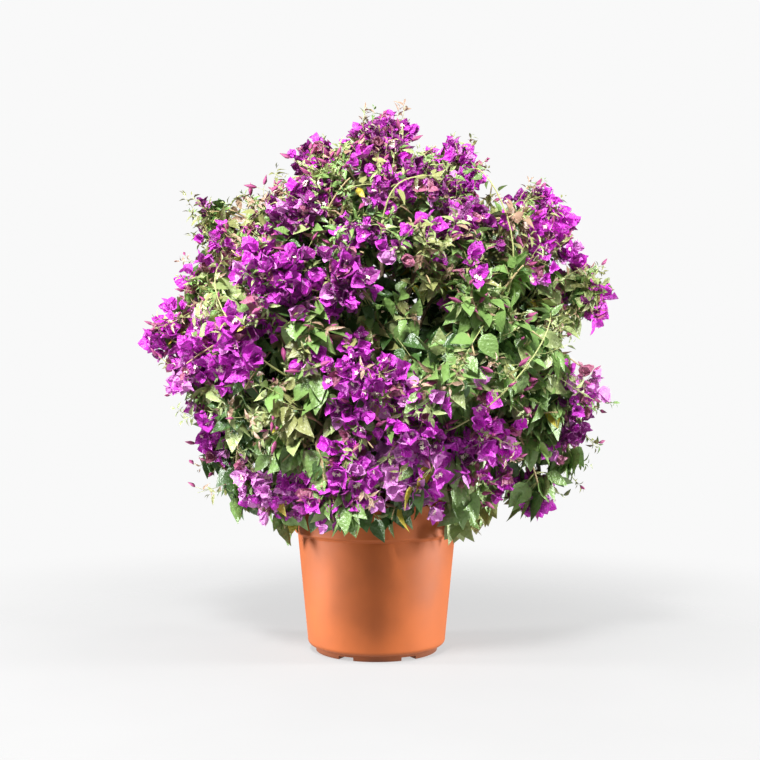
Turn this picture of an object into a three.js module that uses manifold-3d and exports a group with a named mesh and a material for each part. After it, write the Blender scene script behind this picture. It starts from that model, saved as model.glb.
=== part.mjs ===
// A flowering bougainvillea bush together with the plastic nursery pot it grows in.
// Millimetres, +Z up. The origin is the centre of the pot's flat underside and the front is -Y.
// Azimuths run from the front (0) round to the plant's +X side (90); elevations are from level.
import * as THREE from "three";
import { mergeVertices } from "three/addons/utils/BufferGeometryUtils.js";
import Module from "manifold-3d";

// Driving dimensions of the pot
const FIT = 0.3; // clearance between two pieces that touch on the real plant
const POT_SIDES = 32;
const POT_HEIGHT = 280;
const POT_WALL = 3;
const POT_FLOOR = 4;
const FOOT_RADIUS = 113;
const FOOT_HEIGHT = 11;
const WALL_RADIUS_LOW = 128; // just above the rounded lower edge
const WALL_LOW = 21;
const EDGE_ROUND = 9; // how far the wall's lower edge is drawn in
const FLOOR_ROUND = 6; // the same inside, where wall meets floor
const WALL_RADIUS_HIGH = 147; // under the collar
const COLLAR_LOW = 219;
const COLLAR_RADIUS_LOW = 150;
const COLLAR_RADIUS_HIGH = 154;
const COLLAR_ROUND = 5;
const LIP = 2.5; // rounding of the rim
const DRAIN_COUNT = 6;
const DRAIN_WIDTH = 30;
const DRAIN_HEIGHT = 6;
const DRAIN_INNER = 84;
const DRAIN_FIRST_AZIMUTH = -29;
const SOIL_TOP = 262;

// Driving dimensions of the trunk and boughs
const TRUNK_HEIGHT = 112;
const TRUNK_LEAN_X = 9;
const TRUNK_LEAN_Y = -5;
const TRUNK_RADIUS_FOOT = 16;
const TRUNK_RADIUS_TIP = 9.5;
const ROOT_FLARE = 8; // extra radius at soil level
const ROOT_FLARE_HEIGHT = 13;
const TRUNK_SIDES = 10;
const BOUGH_SIDES = 5;
const BOUGH_STEPS = 5;

// Driving dimensions of the crown
const CROWN_CENTRE = new THREE.Vector3(5, 0, 560);
const CROWN_HALF_WIDTH = 380;
const CROWN_RISE = 418; // from the centre up to the top, without the tallest tuft
const CROWN_FALL = 396; // from the centre down to the hanging skirt
const LOWEST_ELEVATION = -65;
const SEED_DEPTH = 0.62; // a mass is centred at this share of the reach
const ENTRY_DEPTH = 0.4; // a bough ends and the mass begins at this share
const STEM_DEPTH = 0.8; // the stem of a mass runs on to this share
const CELL_MARGIN = 1.5; // half the space kept between two masses
const REACH_SLACK = 12;
const LIMB_CLEAR = 2.5;
const POT_CLEAR = 6;

// Driving dimensions of twigs, leaves and bracts
const SHELL_TWIGS = 121;
const INNER_EVERY = 4; // each fourth twig ends further in
const INNER_DEPTH = 0.66;
const STEM_RADIUS = [5.6, 3.8];
const TWIG_RADIUS = [3.8, 2.8];
const TWIG_ARCH = 0.13;
const TWIG_FORWARD = 0.65; // how far ahead of its root a twig's tip lies, by its length
const LEAF = {
  length: 124,
  width: 84,
  widest: 0.42,
  thickest: 0.16,
  thickness: 3,
  fold: 0.08,
};
const BRACT = {
  length: 96,
  width: 74,
  widest: 0.54,
  thickest: 0.16,
  thickness: 2.8,
  fold: 0.1,
};
const BLADE_SIZES = [1, 0.8, 0.62, 0.45]; // tried in turn before a blade is left out
const BLADE_TURNS = [60, 180, 300]; // blades spring from the faces of a three-sided twig
const SPRAY_DEPTH = 42; // a twig ends this far inside the outline and its blades fill the rest
const ROOT_DEPTH = 5; // about how deep a blade's root lies in its twig, along the blade
const LEAF_PLACES = [0.97, 0.74, 0.48]; // along a leafy twig
const BRACT_LEAF_PLACES = [0.6]; // along a flowering twig, below its bracts
const TURN = 137.508; // degrees from one blade or twig to the next

const COLOURS = {
  terracotta: 0xcf7a4a,
  compost: 0x4a3527,
  bark: 0x8d7a5c,
  leaf: 0x5c7a3c,
  bract: 0xa81f9c,
};

// Sprays and clusters that stand out of the crown (gain in mm), and one dark hollow in its face.
const LOBES = [
  { name: "top_tuft", azimuth: 60, elevation: 88, gain: 40, width: 10 },
  { name: "crown_left_tip", azimuth: -80, elevation: 70, gain: 12, width: 9 },
  { name: "crown_right_tip", azimuth: 78, elevation: 66, gain: 22, width: 10 },
  { name: "left_bud_spray", azimuth: -84, elevation: 39, gain: 68, width: 11 },
  { name: "left_upper_spray", azimuth: -100, elevation: 29, gain: 20, width: 8 },
  { name: "left_high_spray", azimuth: -76, elevation: 20, gain: 18, width: 8 },
  { name: "left_cluster_tip", azimuth: -82, elevation: 6, gain: 54, width: 10 },
  { name: "left_cluster", azimuth: -66, elevation: -8, gain: 44, width: 15 },
  { name: "left_low_spray", azimuth: -92, elevation: -32, gain: 44, width: 11 },
  { name: "left_skirt", azimuth: -74, elevation: -46, gain: 34, width: 10 },
  { name: "left_skirt_tip", azimuth: -60, elevation: -59, gain: 26, width: 8 },
  { name: "right_shoulder", azimuth: 76, elevation: 41, gain: 36, width: 11 },
  { name: "right_upper_spray", azimuth: 98, elevation: 32, gain: 68, width: 11 },
  { name: "right_bud_spray", azimuth: 86, elevation: 16, gain: 82, width: 10 },
  { name: "right_cluster", azimuth: 74, elevation: -14, gain: 66, width: 12 },
  { name: "right_low_spray", azimuth: 88, elevation: -29, gain: 62, width: 10 },
  { name: "right_skirt", azimuth: 80, elevation: -43, gain: 62, width: 10 },
  { name: "right_skirt_tip", azimuth: 52, elevation: -61, gain: 20, width: 8 },
  { name: "front_hollow", azimuth: 4, elevation: 8, gain: -130, width: 10 },
  { name: "back_hollow", azimuth: 168, elevation: 14, gain: -110, width: 11 },
  { name: "left_notch", azimuth: -84, elevation: 56, gain: -28, width: 12 },
  { name: "right_notch", azimuth: 88, elevation: 55, gain: -22, width: 10 },
];
// More sprays, spread evenly over the faces that no outline shows.
const SPREAD_LOBES = 16;
const SPREAD_GAIN = [40, 78];
const SPREAD_WIDTH = [8, 13];
const OUTLINE_BAND = 30; // degrees either side of the outline where only the named lobes stand

// Where blossom clusters lie: azimuth, elevation and angular radius in degrees.
const BLOSSOM = [
  [-60, -6, 24],
  [-46, 31, 19],
  [-14, 46, 23],
  [22, 46, 23],
  [-10, 11, 13],
  [46, 30, 19],
  [58, 12, 12],
  [60, -15, 14],
  [10, -9, 17],
  [28, -28, 17],
  [-14, -33, 14],
  [7, -40, 12],
  [-36, -35, 8],
  [90, 40, 22],
  [-88, 12, 15],
  [92, -22, 14],
  [0, 80, 24],
];

// The rings of masses: how each bough leaves its limb and enters its mass, in degrees of elevation.
const RINGS = [
  {
    ring: "upper",
    elevation: 45,
    carrier: "bough_top",
    roots: [0.16, 0.26],
    radius: [4.4, 3],
    leave: 52,
    enter: 50,
    places: {
      front_left: -32,
      front_right: 30,
      right: 88,
      back_right: 148,
      back_left: -150,
      left: -92,
    },
  },
  {
    ring: "middle",
    elevation: 10,
    carrier: "trunk",
    roots: [0.57, 0.73],
    radius: [5, 3.4],
    leave: 52,
    enter: 26,
    places: {
      front: 0,
      front_right: 45,
      right: 90,
      back_right: 135,
      back: 180,
      back_left: -135,
      left: -90,
      front_left: -45,
    },
  },
  {
    ring: "lower",
    elevation: -31,
    carrier: "trunk",
    roots: [0.27, 0.42],
    radius: [5.2, 3.4],
    leave: 36,
    enter: -4,
    places: {
      front_left: -22.5,
      front_right: 22.5,
      right_front: 67.5,
      right_back: 112.5,
      back_right: 157.5,
      back_left: -157.5,
      left_back: -112.5,
      left_front: -67.5,
    },
  },
];

const UP = new THREE.Vector3(0, 0, 1);
const SEED = 20319;

const wasm = await Module();
wasm.setup();

// Repeatable chance, directions and the outline

// A repeatable number from 0 to 1 for a list of whole-number keys.
function chance(...keys) {
  let mix = SEED;
  for (const key of keys) {
    mix = Math.imul(mix ^ (key + 0x9e3779b9), 0x85ebca6b);
    mix ^= mix >>> 13;
    mix = Math.imul(mix, 0xc2b2ae35);
    mix ^= mix >>> 16;
  }
  return (mix >>> 0) / 4294967296;
}

function between([low, high], share) {
  return low + (high - low) * share;
}

function heading(azimuth, elevation) {
  const a = THREE.MathUtils.degToRad(azimuth);
  const e = THREE.MathUtils.degToRad(elevation);
  return new THREE.Vector3(
    Math.sin(a) * Math.cos(e),
    -Math.cos(a) * Math.cos(e),
    Math.sin(e),
  );
}

// The k-th of n directions spread evenly over a sphere.
function evenHeading(k, n) {
  const elevation = THREE.MathUtils.radToDeg(Math.asin(1 - (2 * (k + 0.5)) / n));
  return { azimuth: k * TURN, elevation };
}

function spreadLobes() {
  const lobes = [];
  for (let k = 0; k < SPREAD_LOBES; k++) {
    const { azimuth, elevation } = evenHeading(k, SPREAD_LOBES);
    const fromOutline = Math.abs(Math.abs(((azimuth + 180) % 360) - 180) - 90);
    if (fromOutline < OUTLINE_BAND || elevation < LOWEST_ELEVATION) continue;
    lobes.push({
      name: "spread_" + k,
      azimuth,
      elevation,
      gain: between(SPREAD_GAIN, chance(1, k)),
      width: between(SPREAD_WIDTH, chance(2, k)),
    });
  }
  return lobes;
}

const lobes = [...LOBES, ...spreadLobes()].map((lobe) => ({
  ...lobe,
  heading: heading(lobe.azimuth, lobe.elevation),
}));

function degreesBetween(a, b) {
  return THREE.MathUtils.radToDeg(Math.acos(THREE.MathUtils.clamp(a.dot(b), -1, 1)));
}

// A direction at right angles to the axis, turned about it.
function sideways(axis, degrees) {
  const aside = Math.abs(axis.z) < 0.8 ? UP : new THREE.Vector3(1, 0, 0);
  return aside
    .clone()
    .cross(axis)
    .normalize()
    .applyAxisAngle(axis, THREE.MathUtils.degToRad(degrees));
}

// How far the crown reaches from its centre in a direction: an egg with lobes on it.
function reach(direction) {
  const level = Math.hypot(direction.x, direction.y) / CROWN_HALF_WIDTH;
  const upright = direction.z / (direction.z > 0 ? CROWN_RISE : CROWN_FALL);
  let radius = 1 / Math.hypot(level, upright);
  for (const lobe of lobes) {
    const away = degreesBetween(direction, lobe.heading) / lobe.width;
    radius += lobe.gain * Math.exp(-away * away);
  }
  return radius;
}

function fromCentre(direction, share, inset = 0) {
  return direction
    .clone()
    .multiplyScalar(reach(direction) * share - inset)
    .add(CROWN_CENTRE);
}

// Blossom clusters of the front are repeated, turned half round, at the back.
function inBlossom(direction) {
  return BLOSSOM.some(
    ([azimuth, elevation, radius]) =>
      degreesBetween(direction, heading(azimuth, elevation)) < radius ||
      degreesBetween(direction, heading(180 - azimuth, elevation)) < radius,
  );
}

// Solids

function toSolid(geometry) {
  const bare = geometry.clone();
  bare.deleteAttribute("normal");
  bare.deleteAttribute("uv");
  const merged = mergeVertices(bare);
  return new wasm.Manifold(
    new wasm.Mesh({
      numProp: 3,
      vertProperties: new Float32Array(merged.attributes.position.array),
      triVerts: new Uint32Array(merged.index.array),
    }),
  );
}

function toGeometry(solid) {
  const { vertProperties, triVerts } = solid.getMesh();
  const geometry = new THREE.BufferGeometry();
  geometry.setAttribute("position", new THREE.BufferAttribute(vertProperties, 3));
  geometry.setIndex(new THREE.BufferAttribute(triVerts, 1));
  geometry.computeVertexNormals();
  return geometry;
}

// The largest body of a solid: loose scraps and sealed hollows fall away.
function largestBody(solid) {
  return solid.decompose().reduce((a, b) => (a.volume() > b.volume() ? a : b));
}

function geometryOf(corners, faces) {
  const geometry = new THREE.BufferGeometry();
  const flat = corners.flatMap((corner) => corner.toArray());
  geometry.setAttribute("position", new THREE.Float32BufferAttribute(flat, 3));
  geometry.setIndex(faces.flat());
  return geometry;
}

// A closed tapering tube through the points, with a flat polygon at each end. The ends are square
// to the directions given for them, or else to the path.
function tube(points, radii, sides, facing = {}) {
  const last = points.length - 1;
  const chord = points[last].clone().sub(points[0]).normalize();
  const reference = sideways(chord, 0);
  const corners = [];
  const faces = [];
  points.forEach((point, i) => {
    const ahead = points[Math.min(i + 1, last)];
    const behind = points[Math.max(i - 1, 0)];
    const given = i === 0 ? facing.start : i === last ? facing.end : null;
    const tangent = (given ?? ahead.clone().sub(behind)).clone().normalize();
    const across = reference.clone().addScaledVector(tangent, -reference.dot(tangent));
    across.normalize();
    const around = tangent.clone().cross(across);
    for (let j = 0; j < sides; j++) {
      const angle = (2 * Math.PI * j) / sides;
      corners.push(
        point
          .clone()
          .addScaledVector(across, radii[i] * Math.cos(angle))
          .addScaledVector(around, radii[i] * Math.sin(angle)),
      );
    }
  });
  for (let i = 0; i < last; i++) {
    for (let j = 0; j < sides; j++) {
      const a = i * sides + j;
      const b = i * sides + ((j + 1) % sides);
      faces.push([a, b, a + sides], [b, b + sides, a + sides]);
    }
  }
  for (let j = 1; j < sides - 1; j++) {
    const end = last * sides;
    faces.push([0, j + 1, j], [end, end + j, end + j + 1]);
  }
  return geometryOf(corners, faces);
}

function taper([from, to], steps) {
  return Array.from({ length: steps + 1 }, (_, i) => from + ((to - from) * i) / steps);
}

// A leaf or bract with eight faces, folded along its midrib and thickest near its root.
function bladeCorners(root, axis, face, size) {
  const side = axis.clone().cross(face).normalize();
  const up = side.clone().cross(axis).normalize();
  const at = (along, across, raised) =>
    root
      .clone()
      .addScaledVector(axis, along * size.length)
      .addScaledVector(side, across * size.width)
      .addScaledVector(up, raised);
  const raise = size.width * size.fold;
  return [
    at(0, 0, 0),
    at(size.thickest, 0, size.thickness / 2),
    at(size.thickest, 0, -size.thickness / 2),
    at(size.widest, 0.5, raise),
    at(size.widest, -0.5, raise),
    at(1, 0, -raise),
  ];
}

const BLADE_FACES = [
  [0, 3, 1],
  [0, 1, 4],
  [0, 2, 3],
  [0, 4, 2],
  [1, 3, 5],
  [1, 5, 4],
  [2, 5, 3],
  [2, 4, 5],
];

// Pot and compost

function lathe(profile) {
  const outline = profile.map(([radius, height]) => new THREE.Vector2(radius, height));
  return new THREE.LatheGeometry(outline, POT_SIDES).rotateX(Math.PI / 2);
}

function potSolid() {
  const floorTop = FOOT_HEIGHT + POT_FLOOR;
  const profile = [
    [0, 0],
    [FOOT_RADIUS, 0],
    [FOOT_RADIUS, FOOT_HEIGHT],
    [WALL_RADIUS_LOW - EDGE_ROUND, FOOT_HEIGHT],
    [WALL_RADIUS_LOW - EDGE_ROUND / 3, FOOT_HEIGHT + EDGE_ROUND / 3],
    [WALL_RADIUS_LOW, WALL_LOW],
    [WALL_RADIUS_HIGH, COLLAR_LOW],
    [COLLAR_RADIUS_LOW, COLLAR_LOW + COLLAR_ROUND],
    [COLLAR_RADIUS_HIGH, POT_HEIGHT - LIP],
    [COLLAR_RADIUS_HIGH - LIP, POT_HEIGHT],
    [COLLAR_RADIUS_HIGH - POT_WALL - LIP, POT_HEIGHT - LIP],
    [COLLAR_RADIUS_LOW - POT_WALL, COLLAR_LOW + COLLAR_ROUND],
    [WALL_RADIUS_HIGH - POT_WALL, COLLAR_LOW],
    [WALL_RADIUS_LOW - POT_WALL, floorTop + FLOOR_ROUND],
    [WALL_RADIUS_LOW - POT_WALL - FLOOR_ROUND, floorTop],
    [0, floorTop],
  ];
  let solid = toSolid(lathe(profile));
  for (let k = 0; k < DRAIN_COUNT; k++) {
    const azimuth = DRAIN_FIRST_AZIMUTH + (360 / DRAIN_COUNT) * k;
    const length = FOOT_RADIUS - DRAIN_INNER + 2 * POT_WALL;
    const notch = new THREE.BoxGeometry(DRAIN_WIDTH, length, 2 * DRAIN_HEIGHT);
    notch.translate(0, -DRAIN_INNER - length / 2, 0);
    notch.rotateZ(THREE.MathUtils.degToRad(azimuth));
    solid = solid.subtract(toSolid(notch));
  }
  return solid;
}

// The compost stands on the pot's floor, a hair clear of its wall.
function compostSolid() {
  const floorTop = FOOT_HEIGHT + POT_FLOOR;
  const inner = POT_WALL + FIT;
  const slope = (COLLAR_RADIUS_HIGH - COLLAR_RADIUS_LOW - LIP) / (POT_HEIGHT - COLLAR_LOW);
  const topRadius = COLLAR_RADIUS_LOW - inner + slope * (SOIL_TOP - COLLAR_LOW) - FIT;
  return toSolid(
    lathe([
      [0, floorTop],
      [WALL_RADIUS_LOW - inner - FLOOR_ROUND, floorTop],
      [WALL_RADIUS_LOW - inner, floorTop + FLOOR_ROUND],
      [WALL_RADIUS_HIGH - inner, COLLAR_LOW],
      [COLLAR_RADIUS_LOW - inner, COLLAR_LOW + COLLAR_ROUND + FIT],
      [topRadius, SOIL_TOP],
      [0, SOIL_TOP],
    ]),
  );
}

// Limbs: each keeps its path and radii, so that others can be cut clear of it

const limbs = [];

function limbSolid(limb, extra = 0) {
  const radii = limb.radii.map((radius) => radius + extra);
  return toSolid(tube(limb.points, radii, limb.sides, limb.facing));
}

function addLimb(limb) {
  limb.curve = new THREE.CatmullRomCurve3(limb.points);
  limbs.push(limb);
  return limb;
}

function trunkLimb() {
  const foot = new THREE.Vector3(0, 0, SOIL_TOP - 4);
  const tip = new THREE.Vector3(TRUNK_LEAN_X, TRUNK_LEAN_Y, SOIL_TOP + TRUNK_HEIGHT);
  const path = new THREE.QuadraticBezierCurve3(
    foot,
    new THREE.Vector3(0, 0, SOIL_TOP + TRUNK_HEIGHT / 2),
    tip,
  );
  const steps = 8;
  const points = path.getPoints(steps);
  const radii = taper([TRUNK_RADIUS_FOOT, TRUNK_RADIUS_TIP], steps).map(
    (radius, i) =>
      radius + ROOT_FLARE * Math.exp(-Math.max(points[i].z - SOIL_TOP, 0) / ROOT_FLARE_HEIGHT),
  );
  return addLimb({ name: "trunk", points, radii, sides: TRUNK_SIDES });
}

// The part of the trunk above the compost, with a flat foot.
function trunkSolid(trunk) {
  const size = 2 * COLLAR_RADIUS_HIGH;
  const below = new THREE.BoxGeometry(size, size, size);
  below.translate(0, 0, SOIL_TOP - size / 2);
  return limbSolid(trunk).subtract(toSolid(below));
}

function boughPoints(start, leaving, end, entering) {
  const pull = 0.4 * start.distanceTo(end);
  const path = new THREE.CubicBezierCurve3(
    start,
    start.clone().addScaledVector(leaving, pull),
    end.clone().addScaledVector(entering, -pull),
    end,
  );
  return path.getPoints(BOUGH_STEPS);
}

// Masses of foliage

function ringMasses() {
  const masses = [];
  for (const { ring, elevation, places, ...limb } of RINGS) {
    Object.entries(places).forEach(([place, azimuth], i) => {
      masses.push({
        name: ring + "_" + place,
        azimuth,
        elevation,
        carrier: limb.carrier,
        root: limb.roots[i % 2],
        radius: limb.radius,
        leave: limb.leave,
        enter: limb.enter,
      });
    });
  }
  return masses;
}

const TOP_MASS = {
  name: "top",
  azimuth: 60,
  elevation: 88,
  carrier: "trunk",
  root: 1,
  radius: [TRUNK_RADIUS_TIP - 1, 3.4],
  leave: 82,
  enter: 88,
};

const masses = [TOP_MASS, ...ringMasses()].map((mass) => {
  const direction = heading(mass.azimuth, mass.elevation);
  return {
    ...mass,
    direction,
    seed: fromCentre(direction, SEED_DEPTH),
    entry: fromCentre(direction, ENTRY_DEPTH),
    entering: heading(mass.azimuth, mass.enter),
    targets: [],
  };
});

function addBough(mass) {
  const carrier = limbs.find((limb) => limb.name === mass.carrier);
  const start = carrier.curve.getPoint(mass.root);
  const leaving = heading(mass.azimuth, mass.leave);
  if (mass.root === 1) start.addScaledVector(leaving, FIT);
  const points = boughPoints(start, leaving, mass.entry, mass.entering);
  mass.bough = addLimb({
    name: "bough_" + mass.name,
    points,
    radii: taper(mass.radius, BOUGH_STEPS),
    sides: BOUGH_SIDES,
    facing: { start: leaving, end: mass.entering },
    carrier,
  });
}

function boughSolid(bough) {
  return largestBody(limbSolid(bough).subtract(limbSolid(bough.carrier, FIT)));
}

// How far a point lies inside the flat wall halfway to another mass.
function insideWall(point, own, other) {
  const gap = own.distanceTo(other);
  return (point.distanceToSquared(other) - point.distanceToSquared(own)) / (2 * gap);
}

function massAt(point) {
  return masses.reduce((a, b) =>
    point.distanceTo(a.seed) < point.distanceTo(b.seed) ? a : b,
  );
}

function clearOfPot(point) {
  const radius = COLLAR_RADIUS_HIGH + POT_CLEAR;
  return Math.hypot(point.x, point.y) > radius || point.z > POT_HEIGHT + POT_CLEAR;
}

// True where every point is in the mass's own space, inside the outline and clear of the pot.
function fits(points, mass) {
  return points.every((point) => {
    const offset = point.clone().sub(CROWN_CENTRE);
    const distance = offset.length();
    if (distance > reach(offset.divideScalar(distance)) + REACH_SLACK) return false;
    if (!clearOfPot(point)) return false;
    return masses.every(
      (other) =>
        other === mass || insideWall(point, mass.seed, other.seed) > CELL_MARGIN,
    );
  });
}

function clearOf(solid, obstacles) {
  return obstacles.every((other) => other.intersect(solid).isEmpty());
}

// The ends of all twigs: even directions over the crown, and one at the head of each lobe.
function shareTargets() {
  const add = (direction, share, key) => {
    const point = fromCentre(direction, share, SPRAY_DEPTH);
    massAt(point).targets.push({ point, direction, key });
  };
  for (let k = 0; k < SHELL_TWIGS; k++) {
    const { azimuth, elevation } = evenHeading(k, SHELL_TWIGS);
    if (elevation < LOWEST_ELEVATION) continue;
    add(heading(azimuth, elevation), k % INNER_EVERY ? 1 : INNER_DEPTH, k);
  }
  lobes.forEach((lobe, k) => {
    if (lobe.gain > 0) add(lobe.heading, 1, SHELL_TWIGS + k);
  });
}

function stemCurve(mass) {
  const start = mass.entry.clone().addScaledVector(mass.entering, FIT);
  const end = fromCentre(mass.direction, STEM_DEPTH);
  const pull = 0.4 * start.distanceTo(end);
  const bend = start.clone().addScaledVector(mass.entering, pull);
  return new THREE.QuadraticBezierCurve3(start, bend, end);
}

// A twig leaves the stem behind its target, so that it slants forward, and arches a little.
function twigCurve(stem, target) {
  const end = target.point;
  let best = null;
  for (let i = 1; i <= 10; i++) {
    const share = i / 10;
    const root = stem.getPoint(share);
    const along = stem.getTangent(share);
    const way = end.clone().sub(root);
    const length = way.length();
    const slant = Math.abs(way.dot(along) / length - TWIG_FORWARD);
    const cost = slant + (0.4 * length) / CROWN_HALF_WIDTH;
    if (!best || cost < best.cost) best = { cost, root, length };
  }
  const bend = best.root
    .clone()
    .lerp(end, 0.5)
    .addScaledVector(target.direction, 0.4 * TWIG_ARCH * best.length)
    .addScaledVector(UP, TWIG_ARCH * best.length);
  return new THREE.QuadraticBezierCurve3(best.root, bend, end);
}

// Leaves slant forward, hang a little and face outwards.
function leafPose(twig, share, turn, outward) {
  const along = twig.getTangent(share);
  const axis = sideways(along, turn).multiplyScalar(0.9).addScaledVector(along, 0.35);
  axis.addScaledVector(UP, -0.35).normalize();
  return { root: twig.getPoint(share), axis, face: outward, size: LEAF };
}

// The three bracts of a flower stand round the twig's tip and open forward.
function bractPose(twig, turn) {
  const along = twig.getTangent(1);
  const axis = sideways(along, turn).multiplyScalar(0.84).addScaledVector(along, 0.54);
  axis.normalize();
  return { root: twig.getPoint(0.97), axis, face: along, size: BRACT };
}

// The blades of one twig, each with the poses that it is tried in: a leaf may turn to another face
// of its twig, a bract keeps its own.
function bladesOf(twig, target) {
  const first = Math.floor(3 * chance(3, target.key));
  const leaf = (share, i) =>
    BLADE_TURNS.map((_, j) =>
      leafPose(twig, share, BLADE_TURNS[(first + i + j) % 3], target.direction),
    );
  if (!inBlossom(target.direction)) return LEAF_PLACES.map(leaf);
  const bracts = BLADE_TURNS.map((turn) => [bractPose(twig, turn)]);
  return [...bracts, ...BRACT_LEAF_PLACES.map(leaf)];
}

// The first pose and size in which a blade keeps to the mass's space and crosses nothing in it.
// Its root is left out of the test for crossing, because it lies inside its own twig.
function bladeSolid(poses, mass, obstacles) {
  for (const scale of BLADE_SIZES) {
    for (const { root, axis, face, size } of poses) {
      const scaled = { ...size, length: size.length * scale, width: size.width * scale };
      const corners = bladeCorners(root, axis, face, scaled);
      const middle = corners[0].clone().lerp(corners[5], 0.5);
      if (!fits([...corners, middle], mass)) continue;
      const probe = corners.slice();
      probe[0] = root.clone().addScaledVector(axis, ROOT_DEPTH);
      if (clearOf(toSolid(geometryOf(probe, BLADE_FACES)), obstacles)) {
        return toSolid(geometryOf(corners, BLADE_FACES));
      }
    }
  }
  return null;
}

function massSolid(mass, keptFree) {
  const curve = stemCurve(mass);
  const steps = taper(STEM_RADIUS, 3);
  const stem = toSolid(tube(curve.getPoints(3), steps, 3, { start: mass.entering }));
  const twigs = [];
  for (const target of mass.targets) {
    const path = twigCurve(curve, target);
    const points = path.getPoints(2);
    const solid = toSolid(tube(points, taper(TWIG_RADIUS, 2), 3));
    if (fits(points.slice(1), mass) && clearOf(solid, keptFree)) {
      twigs.push({ target, path, solid });
    }
  }
  const wood = [stem, ...twigs.map((twig) => twig.solid)];
  const blades = [];
  for (const twig of twigs) {
    const obstacles = [...keptFree, ...wood.filter((piece) => piece !== twig.solid)];
    for (const poses of bladesOf(twig.path, twig.target)) {
      const blade = bladeSolid(poses, mass, [...obstacles, ...blades]);
      if (blade) blades.push(blade);
    }
  }
  return largestBody([...wood, ...blades].reduce((whole, piece) => whole.add(piece)));
}

// The bush as a scene graph

const bush = new THREE.Group();
bush.name = "bougainvillea_bush";

function addPiece(parent, name, solid, colour, roughness) {
  const material = new THREE.MeshStandardMaterial({
    color: colour,
    roughness,
    metalness: 0,
  });
  const mesh = new THREE.Mesh(toGeometry(solid), material);
  mesh.name = name;
  parent.add(mesh);
}

const container = new THREE.Group();
addPiece(container, "pot", potSolid(), COLOURS.terracotta, 0.45);
addPiece(container, "compost", compostSolid(), COLOURS.compost, 0.95);
bush.add(container);

const wood = new THREE.Group();
const trunk = trunkLimb();
masses.forEach(addBough);
addPiece(wood, "trunk", trunkSolid(trunk), COLOURS.bark, 0.85);
for (const mass of masses) {
  addPiece(wood, mass.bough.name, boughSolid(mass.bough), COLOURS.bark, 0.85);
}
bush.add(wood);

const crown = new THREE.Group();
shareTargets();
const keptFree = limbs.map((limb) => limbSolid(limb, LIMB_CLEAR));
for (const mass of masses) {
  const flowering = mass.targets.filter((target) => inBlossom(target.direction)).length;
  const colour = flowering * 2 > mass.targets.length ? COLOURS.bract : COLOURS.leaf;
  addPiece(crown, "mass_" + mass.name, massSolid(mass, keptFree), colour, 0.6);
}
bush.add(crown);

export default bush;
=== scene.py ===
import math

import bpy
import numpy as np
from bpy.props import FloatProperty, FloatVectorProperty, IntProperty, PointerProperty
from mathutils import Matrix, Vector


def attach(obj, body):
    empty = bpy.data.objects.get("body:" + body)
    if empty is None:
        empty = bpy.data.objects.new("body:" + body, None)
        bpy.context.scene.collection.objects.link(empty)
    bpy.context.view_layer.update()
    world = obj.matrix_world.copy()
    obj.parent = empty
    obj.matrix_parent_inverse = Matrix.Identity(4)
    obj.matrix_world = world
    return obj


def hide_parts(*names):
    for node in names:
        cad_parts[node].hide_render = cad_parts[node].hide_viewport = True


bl_info = {
    "name": "Potted bougainvillea bush",
    "version": (1, 0, 0),
    "blender": (4, 5, 0),
    "location": "View3D > Sidebar > Bush",
    "description": "Dresses the framed bush: pot, bark, twigs, leaves, bracts and flowers",
    "category": "Object",
}

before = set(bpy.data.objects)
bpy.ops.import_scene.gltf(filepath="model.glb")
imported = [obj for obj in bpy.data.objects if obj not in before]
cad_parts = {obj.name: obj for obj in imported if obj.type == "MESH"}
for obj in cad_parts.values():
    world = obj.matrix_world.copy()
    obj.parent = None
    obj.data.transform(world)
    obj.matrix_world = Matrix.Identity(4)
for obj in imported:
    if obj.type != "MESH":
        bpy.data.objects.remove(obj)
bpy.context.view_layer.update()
BOUGH_NODES = sorted(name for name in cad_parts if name.startswith("bough_"))
MASS_NODES = sorted(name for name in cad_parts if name.startswith("mass_"))
BODY = "root"

# Lengths in metres, angles in degrees. Azimuth 0 is the front and 90 the right-hand side.
UP = np.array((0.0, 0.0, 1.0))
RIGHT = np.array((1.0, 0.0, 0.0))
TURN = 137.508  # from one leaf or twig to the next
SEED = 20319
TINY = 1e-12
NEARLY_UPRIGHT = 0.8

# Trunk, the same as in the frame
SOIL_TOP = 0.262
TRUNK_HEIGHT = 0.112
TRUNK_LEAN = (0.009, -0.005)
TRUNK_RADIUS = (0.016, 0.0095)
ROOT_FLARE = 0.008
ROOT_FLARE_HEIGHT = 0.013
FOOT_DEPTH = 0.004  # the trunk's path starts this far below the soil

# Outline of the crown, the same as in the frame
CROWN_CENTRE = np.array((0.005, 0.0, 0.560))
HALF_WIDTH = 0.380
RISE = 0.418
FALL = 0.396
LOWEST_ELEVATION = -65
SEED_DEPTH = 0.62  # a mass is centred at this share of the reach
ENTRY_DEPTH = 0.4  # a bough ends and the mass begins at this share
STEM_DEPTH = 0.8  # the stem of a mass runs on to this share
PULL = 0.4  # how far a limb keeps to its heading at its ends, as a share of its span
FIT = 0.0003  # gap between pieces that meet
REACH_SLACK = 0.012  # tips may stand this far past the reach
LIMB_CLEAR = 0.0025
LIMB_SAMPLES = 13
POT_CLEAR_RADIUS = 0.160
POT_CLEAR_TOP = 0.286

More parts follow.
